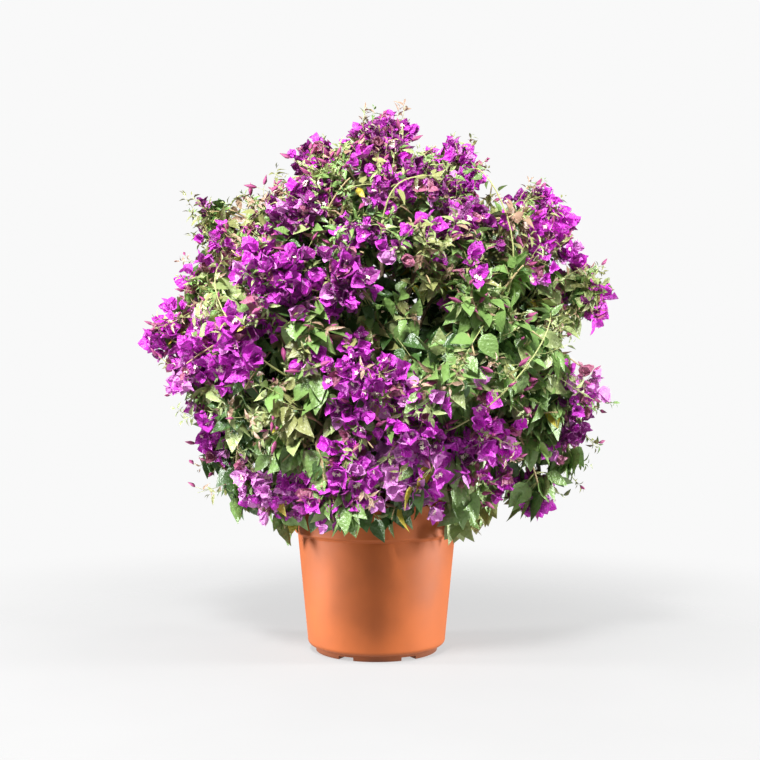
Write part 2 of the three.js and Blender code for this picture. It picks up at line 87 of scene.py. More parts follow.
# Sprays that stand out of the crown and hollows in it: azimuth, elevation, gain, width
LOBES = (
    (60, 88, 0.040, 10),
    (-80, 70, 0.012, 9),
    (78, 66, 0.022, 10),
    (-84, 39, 0.068, 11),
    (-100, 29, 0.020, 8),
    (-76, 20, 0.018, 8),
    (-82, 6, 0.054, 10),
    (-66, -8, 0.044, 15),
    (-92, -32, 0.044, 11),
    (-74, -46, 0.034, 10),
    (-60, -59, 0.026, 8),
    (76, 41, 0.036, 11),
    (98, 32, 0.068, 11),
    (86, 16, 0.082, 10),
    (74, -14, 0.066, 12),
    (88, -29, 0.062, 10),
    (80, -43, 0.062, 10),
    (52, -61, 0.020, 8),
    (4, 8, -0.130, 10),
    (168, 14, -0.110, 11),
    (-84, 56, -0.028, 12),
    (88, 55, -0.022, 10),
)
SPREAD_LOBES = 16
SPREAD_GAIN = (0.040, 0.078)
SPREAD_WIDTH = (8, 13)
OUTLINE_BAND = 30

# Where blossom lies: azimuth, elevation, angular radius and the share of sprays that flower there.
# The back mirrors the front.
BLOSSOM = (
    (60, 88, 5, 1.0),
    (-95, 76, 8, 0.85),
    (0, 74, 8, 0.7),
    (-90, 64, 9, 0.9),
    (78, 64, 10, 0.95),
    (-32, 63, 6, 0.5),
    (-46, 52, 10, 0.95),
    (14, 46, 6, 0.95),
    (50, 48, 8, 0.55),
    (34, 40, 6, 1.0),
    (74, 39, 8, 0.9),
    (-31, 37, 7, 0.95),
    (-88, 42, 10, 0.2),
    (-70, 29, 6, 0.6),
    (-32, 17, 4, 0.9),
    (15, 33, 6, 0.6),
    (65, 29, 6, 0.5),
    (96, 33, 8, 0.8),
    (84, 20, 8, 0.8),
    (-16, 16, 9, 1.0),
    (-34, 6, 8, 0.6),
    (-62, -3, 15, 0.95),
    (-87, 0, 12, 0.95),
    (-43, -1, 6, 0.9),
    (16, -2, 3, 1.0),
    (0, -12, 8, 1.0),
    (6, -17, 7, 0.95),
    (-13, -20, 7, 0.9),
    (-72, -24, 6, 0.7),
    (22, -20, 5, 0.9),
    (76, -18, 7, 1.0),
    (10, -27, 7, 0.95),
    (22, -31, 6, 0.9),
    (34, -25, 7, 0.9),
    (43, -37, 8, 0.9),
    (6, -36, 9, 0.95),
    (-20, -34, 9, 0.95),
    (-20, -43, 8, 0.75),
    (-38, -49, 9, 0.9),
    (-60, -45, 5, 0.6),
    (25, -49, 10, 0.65),
    (84, -43, 8, 0.75),
)
# Where sprays bear only leaves: azimuth, elevation and angular radius, mirrored in the same way
GREENERY = (
    (-3, 58, 7),
    (-100, 43, 5),
    (-70, 17, 8),
    (16, 20, 8),
    (34, 22, 9),
    (30, 12, 8),
    (13, 9, 10),
    (47, 5, 10),
    (66, 7, 10),
    (80, 6, 8),
    (96, 0, 6),
    (31, 1, 11),
    (-3, 3, 7),
    (-27, -7, 9),
    (50, -9, 10),
    (66, -10, 7),
    (38, -15, 5),
    (29, -11, 7),
    (-44, -27, 12),
    (90, -30, 8),
    (-2, -48, 7),
)

# Rings of masses: elevation, carrier, roots, radii, leaving and entering elevation, azimuths
RINGS = (
    (45, "top", (0.16, 0.26), (0.0044, 0.003), 52, 50, (-32, 30, 88, 148, -150, -92)),
    (10, "trunk", (0.57, 0.73), (0.005, 0.0034), 52, 26, (0, 45, 90, 135, 180, -135, -90, -45)),
    (
        -31,
        "trunk",
        (0.27, 0.42),
        (0.0052, 0.0034),
        36,
        -4,
        (-22.5, 22.5, 67.5, 112.5, 157.5, -157.5, -112.5, -67.5),
    ),
)
TOP_MASS = (60, 88, 82, 88)  # azimuth, elevation, leaving and entering elevation
TOP_BOUGH_RADIUS = (0.0085, 0.0034)

# Twigs of the frame, from the stems of the masses
SHELL_TWIGS = 121
INNER_EVERY = 4  # one twig in so many ends inside the crown
INNER_DEPTH = 0.66  # at this share of the reach
TWIG_INSET = 0.042  # twigs end this far short of it
TWIG_ROOTS = (0.1, 1, 10)  # first and last place on a stem, and the number of places
STEM_RADIUS = (0.0042, 0.0026)
TWIG_RADIUS = (0.0024, 0.0012)
TWIG_STEPS = 8
ARCH = 0.13  # rise of a twig's bend, as a share of its span
ARCH_OUT = 0.4  # the bend's way outwards, as a share of that rise
FORWARD = 0.65  # cosine of the slant at which twigs leave best
SPAN_COST = 0.4  # how much a long way counts against a root

# Sprays over the crown, and the shoots of each
SPRAY_DEPTHS = (1.0, 0.88, 0.93, 0.84, 0.97, 0.70)  # shares of the reach, dealt out in turn
SPRAY_UNEVEN = 0.05
SPRAY_JITTER = 0.04
SPRAY_SPREAD = 0.075  # how far the shoots of a spray spread, in radians
LOBE_SPREAD = 0.042  # the same for the slimmer sprays that stand out
LOBE_DEPTH = 0.97
OUTER_DEPTH = 0.8  # only sprays past this share of the reach flower, bud and stand out
SHOOT_RADIUS = (0.0013, 0.0007)
SHOOT_STEPS = 4
SHOOT_INSET = 0.040
SHOOT_UNEVEN = 0.014
SHOOT_LENGTH = (0.016, 0.230)
ROOTS_ON_TWIGS = (0.3, 1, 6)
ROOTS_ON_STEMS = (0.35, 1, 6)

# What changes from the low sprays to the high ones
HIGH_FROM = 5  # elevation where sprays begin to count as high
HIGH_OVER = 35  # degrees over which they come to do so fully
HIGH_SHRINK = 0.4  # share by which the highest leaves are smaller
LOW_GAIN = 0.15  # share by which the lowest bracts are larger
LOW_STRAY = 0.1  # share of the stray blossom that the lowest sprays keep
TUFTS_ON_GREEN = (0.45, 0.90)  # shares of shoots with a tuft, at the lowest and the highest
TUFTS_ON_BLOOM = (0.30, 0.65)
WHISKERS_BY_HEIGHT = (0.6, 1.2)

# Long canes over the surface of the crown
CANES = 9
CANE_RADIUS = (0.0017, 0.0008)
CANE_STEPS = 12
CANE_FEET = (-35, 30)  # lowest and highest elevation
CANE_RISE = (0.4, 0.9)
CANE_SWAY = 0.3
CANE_BEND = 0.3
CANE_WANDER = 0.1
CANE_START = 0.7  # shares of the reach
CANE_CREST = 1.03
CANE_INSET = 0.010
CANE_LEAF = 0.6  # size and slimness of its leaves
CANE_SLIM = 0.8

# Fine shoots that stand out past the leaves
WHISKERS_ABOVE = -0.7  # sine of the lowest elevation where they grow
WHISKERS_FROM = 0.8  # share of the shoot where they begin to branch off
WHISKER_SWAY = 0.35
WHISKER_LENGTH = (0.030, 0.085)
WHISKER_PLACES = (0.35, 0.5, 0.65, 0.8)
WHISKER_LEAF = 0.8
WHISKER_TUFT = 0.7
WHISKERS_BUDDING = 0.25
WHISKER_BUDS = 2
YOUNG_SLIM = 0.7

# Leaves: places along the shoot, and lowest and highest shares of their size
LEAF_PLACES = (0.36, 0.5, 0.62, 0.74, 0.85, 0.95)
LEAF_SHIFT = 0.05
LEAF_JITTER = 0.16
LEAF_SIZE = (0.65, 1.12)
LEAF_WIDTH = (0.5, 0.66)
LEAF_FOLD = (0.15, 0.7)
LEAF_CURL = (0.05, 0.4)
LEAF_HANG = 0.25
LOW_HANG = 0.9  # leaves under the crown hang so much more
LOW_BELOW = 0.4  # sine of the elevation where that begins
FACE_JITTER = 0.4
BLOOM_LEAF = 0.8  # size of the leaves on shoots that flower
OTHER_LEAVES = 0.2  # share of the leaves whose tint isn't that of their spray
TURNING = 0.012  # share of the leaves that have turned yellow

# Tufts of small leaves at the growing tips
TUFT_LEAVES = 6
TUFT_TURN = 40
TUFT_JITTER = 0.25
TUFT_DEPTH = 0.018
TUFT_WIDENING = 0.002
TUFT_SIZE = (0.6, 1.2)
TUFT_WIDTH = (0.26, 0.44)
TUFT_CURL = (0.1, 0.75)
TUFT_FOLD = 0.7

# Flowers of three bracts, and buds, on thin stalks
STALK_RADIUS = 0.00045
STALKS_FROM = 0.72  # share of the shoot where they begin to branch off
STALK_JITTER = 0.2
STALK_TURN = 60
IN_BLOSSOM = 0.71  # share of the shoots of a flowering spray that flower
FLOWERS_MISSED = 0.4  # share of shoots that lack the last flower
FLOWER_STALK = (0.008, 0.038)
FLOWER_JITTER = 0.45
FLOWER_SIZE = (0.7, 1.1)
FLOWER_OPENING = (0.05, 0.75)
SPRAY_SIZE = (0.66, 1.05)  # of the bracts of each spray
BRACTS = 3
BRACT_TURN = 120
BRACT_SHIFT = 12
BRACT_SIZE = (0.85, 1.1)
BRACT_WIDTH = (0.68, 0.92)
BRACT_FOLD = (0.2, 0.8)
BRACT_CURL = (-0.3, 0.25)
CRINKLE = 0.095
OTHER_BRACTS = 0.34  # share of the flowers whose tint isn't that of their spray
SHOOT_BUDS = 3
BUD_STALK = (0.018, 0.046)
BUD_SIZE = (0.6, 1.1)
BUD_SHAPE = ((0, 0.03), (0.16, 0.13), (0.42, 0.19), (0.72, 0.10), (1, 0.005))

# The cream flower inside a bract: its tube and its star
FLOWER_OPEN = 0.4  # flowers open wider than this may show one
FLOWER_SHOWN = 0.42  # share of those bracts that do
FLOWER_LENGTH = (0.3, 0.5)
FLOWER_LEAN = 0.35
TUBE_SHAPE = ((0, 0.0007), (0.5, 0.0009), (1, 0.0012))
STAR_POINTS = 5
STAR_RADIUS = (0.0056, 0.0024)
STAR_DISH = 0.001

# Furrows of the bark: number round the limb, pitch of their sway and depth
FURROWS = ((3, 9, 0.05), (5, 23, 0.05), (8, 41, 0.045))
FURROW_SWAY = 1.4
SCAR_EVERY = 7  # rings of the mesh
SCAR_WIDTH = 0.02
SCAR_RELIEF = 0.07
BARK_GRAIN = 0.012
TRUNK_RINGS = 64
TRUNK_SIDES = 40
BOUGH_RINGS = 40
BOUGH_SIDES = 14

# Shares of the tints, in their order, among sprays low and high, inner sprays and young leaves
LEAF_TINTS = ("leaf_deep", "leaf_mid", "leaf_young", "leaf_olive", "leaf_blush", "leaf_yellow")
BRACT_TINTS = ("bract_bright", "bract_purple", "bract_deep", "bract_pale", "bract_dusky")
LOW_LEAVES = np.array((1.0, 2.0, 0.4, 0.15, 0.0, 0.0))
HIGH_LEAVES = np.array((0.6, 1.1, 0.6, 1.0, 0.15, 0.0))
# The pale share, largest among low sprays, is partly painted highlight
LOW_BRACTS = np.array((1.1, 0.6, 0.2, 0.45, 0.08))
# High sprays get mostly deep purple bracts: partly their own darker tint, partly painted shade over
# the top of the crown
HIGH_BRACTS_WITH_PAINTED_SHADE = np.array((0.4, 0.9, 1.0, 0.15, 0.35))
INNER_LEAVES = np.array((2.0, 1.4, 0.0, 0.2, 0.0, 0.0))
YOUNG_LEAVES = np.array((0.0, 0.5, 0.9, 0.8, 0.7, 0.0))

# The sources of random numbers, in a fixed order
STREAMS = (
    "shoots",
    "blossom",
    "tips",
    "leaves",
    "flowers",
    "whiskers",
    "canes",
    "crumbs",
    "bark",
    "leaf_edges",
    "bract_edges",
    "stars",
)

# Where the crown is open: azimuth, elevation, angular radius and the share of shoots left there
OPENINGS = (
    (8, 9, 14, 0.02),
    (168, 14, 10, 0.4),
    (-86, 57, 11, 0.05),
    (88, 54, 11, 0.0),
    (0, 76, 7, 0.5),
    (180, 76, 7, 0.5),
    (90, 78, 6, 0.25),
    (-90, 80, 6, 0.25),
    (-92, -20, 8, 0.4),
    (93, -7, 9, 0.35),
    (44, -66, 12, 0.3),
    (74, -50, 9, 0.35),
    (-20, -62, 10, 0.4),
)
# Where the sprays stop short: azimuth, elevation, angular radius and greatest share of the reach
DENTS = (
    (58, 55, 11, 0.87),
    (88, 54, 13, 0.84),
    (118, 55, 11, 0.87),
    (-60, 64, 9, 0.90),
    (-86, 57, 12, 0.82),
    (-114, 64, 9, 0.90),
    (0, 74, 9, 0.93),
    (180, 74, 9, 0.93),
    (0, 90, 13, 0.90),
    (8, 10, 16, 0.82),
    (-30, 4, 8, 0.90),
    (-88, 17, 7, 0.86),
    (-90, -20, 7, 0.90),
    (92, 55, 8, 0.80),
    (36, 2, 8, 0.92),
)

# Outlines of the blades: share of the length, and half width as a share of the widest.
# A leaf begins with the sliver of its stalk.
LEAF_OUTLINE = (
    (0, 0),
    (0.15, 0.07),
    (0.25, 0.74),
    (0.42, 1),
    (0.64, 0.80),
    (0.84, 0.36),
    (1, 0),
)
YOUNG_OUTLINE = (
    (0, 0),
    (0.22, 0.75),
    (0.48, 1),
    (0.78, 0.52),
    (1, 0),
)
BRACT_OUTLINE = (
    (0, 0),
    (0.06, 0.54),
    (0.22, 0.92),
    (0.44, 1),
    (0.68, 0.80),
    (0.87, 0.40),
    (1, 0),
)


def srgb(red, green, blue):
    """Linear colour of a screen colour in steps of 0 to 255."""
    shares = [value / 255 for value in (red, green, blue)]
    return tuple(s / 12.92 if s <= 0.04045 else ((s + 0.055) / 1.055) ** 2.4 for s in shares)


def length(name, description, default):
    return FloatProperty(
        name=name, description=description, default=default, min=0.0, precision=4, unit="LENGTH"
    )


def count(name, description, default):
    return IntProperty(name=name, description=description, default=default, min=1)


def factor(name, description, default):
    return FloatProperty(
        name=name, description=description, default=default, min=0.0, max=1.0, subtype="FACTOR"
    )


def colour(name, description, default):
    return FloatVectorProperty(
        name=name, description=description, default=default, min=0.0, max=1.0, subtype="COLOR"
    )


class PotSizes(bpy.types.PropertyGroup):
    """Sizes and colours of the pot and what fills it."""

    height: length("Height", "Rim over the floor", 0.280)
    wall: length("Wall", "Thickness of the wall", 0.003)
    foot_radius: length("Foot radius", "Radius of the foot", 0.113)
    foot_height: length("Foot height", "Height of the foot", 0.011)
    low_radius: length("Low radius", "Outer radius above the rounded lower edge", 0.128)
    low_height: length("Low height", "Where the straight wall begins", 0.021)
    high_radius: length("High radius", "Outer radius just under the collar", 0.147)
    collar_low: length("Collar height", "Lower edge of the collar", 0.219)
    collar_radius: length("Collar radius", "Outer radius of the collar's lower edge", 0.150)
    rim_radius: length("Rim radius", "Outer radius of the rim", 0.154)
    tone: colour("Tone", "Terracotta of the plastic", srgb(180, 93, 41))
    soil: colour("Soil", "Colour of the damp compost", srgb(58, 42, 32))


class CrownSizes(bpy.types.PropertyGroup):
    """Counts and sizes of what grows in the crown."""

    sprays: count("Sprays", "Sprays over the whole crown", 310)
    shoots: count("Shoots", "Shoots in each spray", 8)
    flowers: count("Flowers", "Most flowers on a shoot", 9)
    leaf: length("Leaf", "Length of a full-grown leaf", 0.056)
    bract: length("Bract", "Length of a full-grown bract", 0.029)
    young: length("Young leaf", "Length of a leaf at a growing tip", 0.025)
    bud: length("Bud", "Length of a closed bud", 0.024)
    stray: factor("Stray blossom", "Share of the other shoots that flower all the same", 0.11)
    buds: factor("Buds", "Share of outer shoots that end in buds", 0.08)
    whiskers: factor("Whiskers", "Share of outer shoots with a fine shoot standing out", 0.38)


class Tints(bpy.types.PropertyGroup):
    """Plain colours that are dealt out by spray."""

    bark: colour("Bark", "Bark of the trunk and boughs", srgb(150, 130, 104))
    twig: colour("Twig", "Woody twigs", srgb(178, 158, 116))
    shoot: colour("Shoot", "Green shoots and stalks", srgb(172, 178, 112))
    leaf_deep: colour("Deep leaf", "Shaded older leaves", srgb(68, 102, 48))
    leaf_mid: colour("Mid leaf", "Full-grown leaves", srgb(122, 156, 84))
    leaf_young: colour("Young leaf", "Fresh yellow-green leaves", srgb(160, 176, 114))
    leaf_olive: colour("Olive leaf", "Bronzed leaves near the top", srgb(146, 150, 92))
    leaf_blush: colour("Blushing leaf", "Small leaves tinged with pink", srgb(170, 140, 116))
    leaf_yellow: colour("Yellowing leaf", "Old leaves that turn", srgb(198, 184, 66))
    bract_bright: colour("Bright bract", "Vivid magenta", srgb(226, 62, 222))
    bract_purple: colour("Purple bract", "Middle purple", srgb(198, 46, 194))
    bract_deep: colour("Deep bract", "Dark purple", srgb(142, 18, 132))
    # Pale lilac: partly faded bracts, partly painted highlight that stands for glossy and backlit
    # bracts
    bract_pale: colour("Pale bract", "Faded lilac", srgb(230, 148, 224))
    bract_dusky: colour("Dusky bract", "Unripe wine red", srgb(168, 92, 122))
    bud: colour("Bud", "Closed buds", srgb(158, 66, 118))
    flower: colour("Flower", "Cream flowers inside the bracts", srgb(246, 238, 214))


# Repeatable chance, directions and the outline, by the rule of the frame


def chance(*keys):
    """A repeatable number from 0 to 1 for a list of whole-number keys, by mixing their bits."""
    mask = 0xFFFFFFFF
    step, first_factor, last_factor = 0x9E3779B9, 0x85EBCA6B, 0xC2B2AE35
    mix = SEED
    for key in keys:
        mix = ((mix ^ ((key + step) & mask)) * first_factor) & mask
        mix ^= mix >> 13
        mix = (mix * last_factor) & mask
        mix ^= mix >> 16
    return mix / (mask + 1)


def stream(use):
    """A source of random numbers for one use, the same on every run."""
    return np.random.default_rng((SEED, 1 + STREAMS.index(use)))


def between(ends, share):
    return ends[0] + (ends[1] - ends[0]) * share


def unit(vectors):
    vectors = np.asarray(vectors, float)
    return vectors / np.maximum(np.linalg.norm(vectors, axis=-1, keepdims=True), TINY)


def heading(azimuth, elevation):
    a = np.radians(azimuth)
    e = np.radians(elevation)
    return np.stack((np.sin(a) * np.cos(e), -np.cos(a) * np.cos(e), np.sin(e) + 0 * a), axis=-1)


def even_heading(k, n):
    """Azimuth and elevation of the k-th of n directions spread evenly over a sphere."""
    return k * TURN, np.degrees(np.arcsin(1 - 2 * (k + 0.5) / n))


def all_lobes():
    lobes = list(LOBES)
    for k in range(SPREAD_LOBES):
        azimuth, elevation = even_heading(k, SPREAD_LOBES)
        from_outline = abs(abs((azimuth + 180) % 360 - 180) - 90)
        if from_outline < OUTLINE_BAND or elevation < LOWEST_ELEVATION:
            continue
        gain = between(SPREAD_GAIN, chance(1, k))
        lobes.append((azimuth, elevation, gain, between(SPREAD_WIDTH, chance(2, k))))
    return np.array(lobes)


LOBE_TABLE = all_lobes()
LOBE_HEADINGS = heading(LOBE_TABLE[:, 0], LOBE_TABLE[:, 1])
BLOSSOM_TABLE = np.array(BLOSSOM, float)
GREEN_TABLE = np.array(GREENERY, float)


def degrees_between(a, b):
    """Angles from each direction in a to each in b."""
    return np.degrees(np.arccos(np.clip(a @ b.T, -1, 1)))


def sideways(axes, degrees):
    """Directions at right angles to the axes, turned about them."""
    aside = np.where(np.abs(axes[..., 2:3]) < NEARLY_UPRIGHT, UP, RIGHT)
    across = unit(np.cross(aside, axes))
    turn = np.radians(degrees)[..., None]
    return across * np.cos(turn) + np.cross(axes, across) * np.sin(turn)


def reach(directions):
    """How far the crown reaches from its centre in each direction."""
    level = np.hypot(directions[..., 0], directions[..., 1]) / HALF_WIDTH
    upright = directions[..., 2] / np.where(directions[..., 2] > 0, RISE, FALL)
    away = degrees_between(directions, LOBE_HEADINGS) / LOBE_TABLE[:, 3]
    return 1 / np.hypot(level, upright) + (LOBE_TABLE[:, 2] * np.exp(-away * away)).sum(-1)


def from_centre(directions, share, inset=0.0):
    return CROWN_CENTRE + directions * (reach(directions) * share - inset)[..., None]


def within(directions, table):
    """For each direction and patch, whether it lies in the patch or in its copy at the back."""
    azimuth, elevation, radius = table.T[:3]
    front = degrees_between(directions, heading(azimuth, elevation)) < radius
    back = degrees_between(directions, heading(180 - azimuth, elevation)) < radius
    return front | back


def blossom_share(directions):
    """The share of sprays that flower in each direction."""
    share = (within(directions, BLOSSOM_TABLE) * BLOSSOM_TABLE[:, 3]).max(-1)
    return share * ~within(directions, GREEN_TABLE).any(-1)


def bezier(controls, shares):
    """Points on Bezier curves: each control is a point, or one row for each curve."""
    t = np.asarray(shares, float)[..., None]
    level = [np.asarray(control, float) for control in controls]
    while len(level) > 1:
        level = [a * (1 - t) + b * t for a, b in zip(level, level[1:])]
    return level[0]


def bezier_heading(controls, shares):
    return unit(bezier([b - a for a, b in zip(controls, controls[1:])], shares))


# Limbs and masses


def trunk_controls():
    lean = np.array((*TRUNK_LEAN, 0.0))
    foot = np.array((0.0, 0.0, SOIL_TOP - FOOT_DEPTH))
    middle = np.array((0.0, 0.0, SOIL_TOP + TRUNK_HEIGHT / 2))
    return [foot, middle, lean + UP * (SOIL_TOP + TRUNK_HEIGHT)]


def bough_controls(start, leaving, end, entering):
    pull = PULL * np.linalg.norm(end - start)
    return [start, start + leaving * pull, end - entering * pull, end]


def make_mass(azimuth, elevation, enter, carrier, root, leave, radius):
    """The seed and stem of a mass, and the bough that reaches it from a root on its carrier."""
    direction = heading(azimuth, elevation)
    entering = heading(azimuth, enter)
    entry = from_centre(direction, ENTRY_DEPTH)
    stem_start = entry + entering * FIT
    stem_end = from_centre(direction, STEM_DEPTH)
    pull = PULL * np.linalg.norm(stem_end - stem_start)
    return {
        "seed": from_centre(direction, SEED_DEPTH),
        "radius": radius,
        "bough": bough_controls(bezier(carrier, root), heading(azimuth, leave), entry, entering),
        "stem": [stem_start, stem_start + entering * pull, stem_end],
    }


def make_masses():
    trunk = trunk_controls()
    azimuth, elevation, leave, enter = TOP_MASS
    masses = [make_mass(azimuth, elevation, enter, trunk, 1.0, leave, TOP_BOUGH_RADIUS)]
    carriers = {"trunk": trunk, "top": masses[0]["bough"]}
    for elevation, carrier, roots, radius, leave, enter, azimuths in RINGS:
        for i, azimuth in enumerate(azimuths):
            masses.append(
                make_mass(azimuth, elevation, enter, carriers[carrier], roots[i % 2], leave, radius)
            )
    return masses


MASSES = make_masses()
MASS_SEEDS = np.array([mass["seed"] for mass in MASSES])


def owner_of(points):
    """The mass whose seed is nearest to each point."""
    return np.linalg.norm(points[:, None] - MASS_SEEDS, axis=-1).argmin(-1)


def limb_samples():
    """Points along the trunk and boughs, with the radius to keep clear of."""
    shares = np.linspace(0, 1, LIMB_SAMPLES)
    points = [bezier(trunk_controls(), shares)]
    radii = [between(TRUNK_RADIUS, shares)]
    for mass in MASSES:
        points.append(bezier(mass["bough"], shares))
        radii.append(between(mass["radius"], shares))
    return np.concatenate(points), np.concatenate(radii)


LIMB_POINTS, LIMB_RADII = limb_samples()


def fits(points):
    """True for each point inside the outline, clear of the pot and clear of the limbs."""
    offset = points - CROWN_CENTRE
    distance = np.linalg.norm(offset, axis=-1)
    inside = distance < reach(unit(offset)) + REACH_SLACK
    beside_pot = np.hypot(points[..., 0], points[..., 1]) > POT_CLEAR_RADIUS
    clear = beside_pot | (points[..., 2] > POT_CLEAR_TOP)
    gaps = np.linalg.norm(points[..., None, :] - LIMB_POINTS, axis=-1) - LIMB_RADII
    return inside & clear & (gaps.min(-1) > LIMB_CLEAR)


def pick(curves, chosen):
    """The chosen ones of several curves, which are held as one array for each control point."""
    return [control[chosen] for control in curves]


def curves_fit(curves, share):
    """True for each curve that fits at its end and at one share of the way there."""
    ends = curves[-1]
    return fits(bezier(curves, np.full(len(ends), share))) & fits(ends)


def arching(roots, ends, directions):
    """Control points of twigs that arch up and outwards between their roots and ends."""
    span = np.linalg.norm(ends - roots, axis=-1, keepdims=True)
    bend = (roots + ends) / 2 + directions * (ARCH_OUT * ARCH * span) + UP * (ARCH * span)
    return [roots, bend, ends]


def best_roots(ends, roots, along):
    """For each end, the root behind it that needs the shortest twig with a forward slant."""
    way = ends[:, None] - roots
    span = np.linalg.norm(way, axis=-1)
    slant = np.abs((way * along).sum(-1) / np.maximum(span, TINY) - FORWARD)
    return (slant + SPAN_COST * span / HALF_WIDTH).argmin(-1)


def grow_twigs():
    """Twigs from the stems of the masses, with the ends that the frame gives them."""
    k = np.arange(SHELL_TWIGS)
    azimuth, elevation = even_heading(k, SHELL_TWIGS)
    kept = elevation >= LOWEST_ELEVATION
    share = np.where(k % INNER_EVERY, 1.0, INNER_DEPTH)[kept]
    raised = LOBE_TABLE[:, 2] > 0
    directions = np.concatenate((heading(azimuth, elevation)[kept], LOBE_HEADINGS[raised]))
    share = np.concatenate((share, np.ones(raised.sum())))
    ends = from_centre(directions, share, TWIG_INSET)
    roots = np.zeros_like(ends)
    owner = owner_of(ends)
    steps = np.linspace(*TWIG_ROOTS)
    for i, mass in enumerate(MASSES):
        mine = owner == i
        if mine.any():
            places = bezier(mass["stem"], steps)
            chosen = best_roots(ends[mine], places, bezier_heading(mass["stem"], steps))
            roots[mine] = places[chosen]
    twigs = arching(roots, ends, directions)
    good = curves_fit(twigs, 0.5)
    return pick(twigs, good), owner[good]


def close_to(directions, azimuth, elevation, radius):
    """True for each direction within an angular radius of one place on the crown."""
    return degrees_between(directions, heading(azimuth, elevation)[None])[:, 0] < radius


def outside_openings(directions, rng):
    """True for each direction, apart from most of those that lie in an opening."""
    kept = np.full(len(directions), True)
    for azimuth, elevation, radius, share in OPENINGS:
        inside = close_to(directions, azimuth, elevation, radius)
        kept &= ~inside | (rng.random(len(directions)) < share)
    return kept


def place_sprays(crown, rng):
    """Directions and depths of the sprays: even over the crown, with one on each lobe."""
    k = np.arange(crown.sprays)
    azimuth, elevation = even_heading(k, crown.sprays)
    jitter = rng.normal(0, SPRAY_JITTER, (crown.sprays, 3))
    directions = unit(heading(azimuth, elevation) + jitter)
    uneven = rng.uniform(0, SPRAY_UNEVEN, crown.sprays)
    depth = np.array(SPRAY_DEPTHS)[k % len(SPRAY_DEPTHS)] - uneven
    kept = elevation >= LOWEST_ELEVATION
    raised = LOBE_HEADINGS[LOBE_TABLE[:, 2] > 0]
    for azimuth, elevation, radius, furthest in DENTS:
        inside = close_to(directions, azimuth, elevation, radius)
        depth = np.where(inside, np.minimum(depth, furthest), depth)
    directions = np.concatenate((directions[kept], raised))
    return directions, np.concatenate((depth[kept], np.full(len(raised), LOBE_DEPTH)))


def grow_shoots(crown, twigs, twig_owner, rng):
    """The shoots of each spray, from the best place on a twig or the stem of the same mass."""
    sprays, spray_depth = place_sprays(crown, rng)
    spray = np.repeat(np.arange(len(sprays)), crown.shoots)
    spread = np.where(spray_depth == LOBE_DEPTH, LOBE_SPREAD, SPRAY_SPREAD)[spray, None]
    directions = unit(sprays[spray] + spread * rng.normal(0, 1, (len(spray), 3)))
    ends = from_centre(directions, spray_depth[spray], SHOOT_INSET)
    ends -= directions * np.abs(rng.normal(0, SHOOT_UNEVEN, len(spray)))[:, None]
    roots = np.zeros_like(ends)
    owner = owner_of(ends)
    twig_steps = np.linspace(*ROOTS_ON_TWIGS)
    stem_steps = np.linspace(*ROOTS_ON_STEMS)
    for i, mass in enumerate(MASSES):
        mine = owner == i
        carriers = [(mass["stem"], stem_steps)]
        carriers += [(pick(twigs, j), twig_steps) for j in np.flatnonzero(twig_owner == i)]
        places = np.concatenate([bezier(*carrier) for carrier in carriers])
        along = np.concatenate([bezier_heading(*carrier) for carrier in carriers])
        roots[mine] = places[best_roots(ends[mine], places, along)]
    span = np.linalg.norm(ends - roots, axis=-1)
    shoots = arching(roots, ends, directions)
    good = (span > SHOOT_LENGTH[0]) & (span < SHOOT_LENGTH[1]) & curves_fit(shoots, 0.6)
    good &= outside_openings(directions, rng)
    return pick(shoots, good), directions[good], spray[good], sprays, spray_depth


def grow_canes(rng):
    """Long bare canes that arch over the surface of the crown."""
    azimuth, elevation = even_heading(np.arange(CANES), CANES)
    low = heading(azimuth, np.clip(elevation, *CANE_FEET))
    rise = UP * rng.uniform(*CANE_RISE, (CANES, 1))
    high = unit(low + rise + rng.normal(0, CANE_SWAY, (CANES, 3)))
    early = unit(low + high * CANE_BEND + rng.normal(0, CANE_WANDER, low.shape))
    late = unit(low * CANE_BEND + high + rng.normal(0, CANE_WANDER, low.shape))
    canes = [
        from_centre(low, CANE_START),
        from_centre(early, 1.0),
        from_centre(late, CANE_CREST),
        from_centre(high, 1.0, CANE_INSET),
    ]
    good = curves_fit(canes, 0.5)
    return pick(canes, good), high[good]


def grow_whiskers(shoots, directions, rng):
    """Fine shoots that stand out past the leaves of the sprays."""
    number = len(directions)
    spot = rng.uniform(WHISKERS_FROM, 1, number)
    base = bezier(shoots, spot)
    along = bezier_heading(shoots, spot)
    sway = rng.normal(0, WHISKER_SWAY, base.shape)
    lean = unit(along * 0.5 + directions * 0.9 + UP * 0.1 + sway)
    span = rng.uniform(*WHISKER_LENGTH, number)[:, None]
    whiskers = [base, base + along * span * 0.5, base + lean * span]
    outward = unit(whiskers[-1] - CROWN_CENTRE)
    good = fits(whiskers[-1]) & outside_openings(outward, rng) & (outward[:, 2] > WHISKERS_ABOVE)
    return pick(whiskers, good), directions[good]


class Blades:
    """Leaves or bracts, gathered by tint until they are made into joined meshes."""

    def __init__(self):
        self.parts = []

    def add(self, tint, roots, axes, faces, lengths, widths, fold, curl, crinkle):
        tips = roots + axes * lengths[:, None]
        middles = (roots + tips) / 2
        good = fits(tips) & fits(middles)
        columns = (tint, roots, axes, faces, lengths, widths)
        extras = np.broadcast_arrays(fold, curl, crinkle, lengths)[:3]
        self.parts.append(pick((*columns, *extras), good))

    def of_tint(self, number):
        columns = [np.concatenate(column) for column in zip(*self.parts)]
        return pick(columns[1:], columns[0] == number)


class Stalks:
    """Thin tapering tubes, gathered as paths and radii."""

    def __init__(self):
        self.paths = []
        self.radii = []

    def add(self, curves, radii, steps):
        shares = np.linspace(0, 1, steps + 1)
        number = len(curves[0])
        points = [bezier(curves, np.full(number, share)) for share in shares]
        self.paths.append(np.stack(points, axis=1))
        self.radii.append(np.broadcast_to(between(radii, shares), (number, len(shares))))


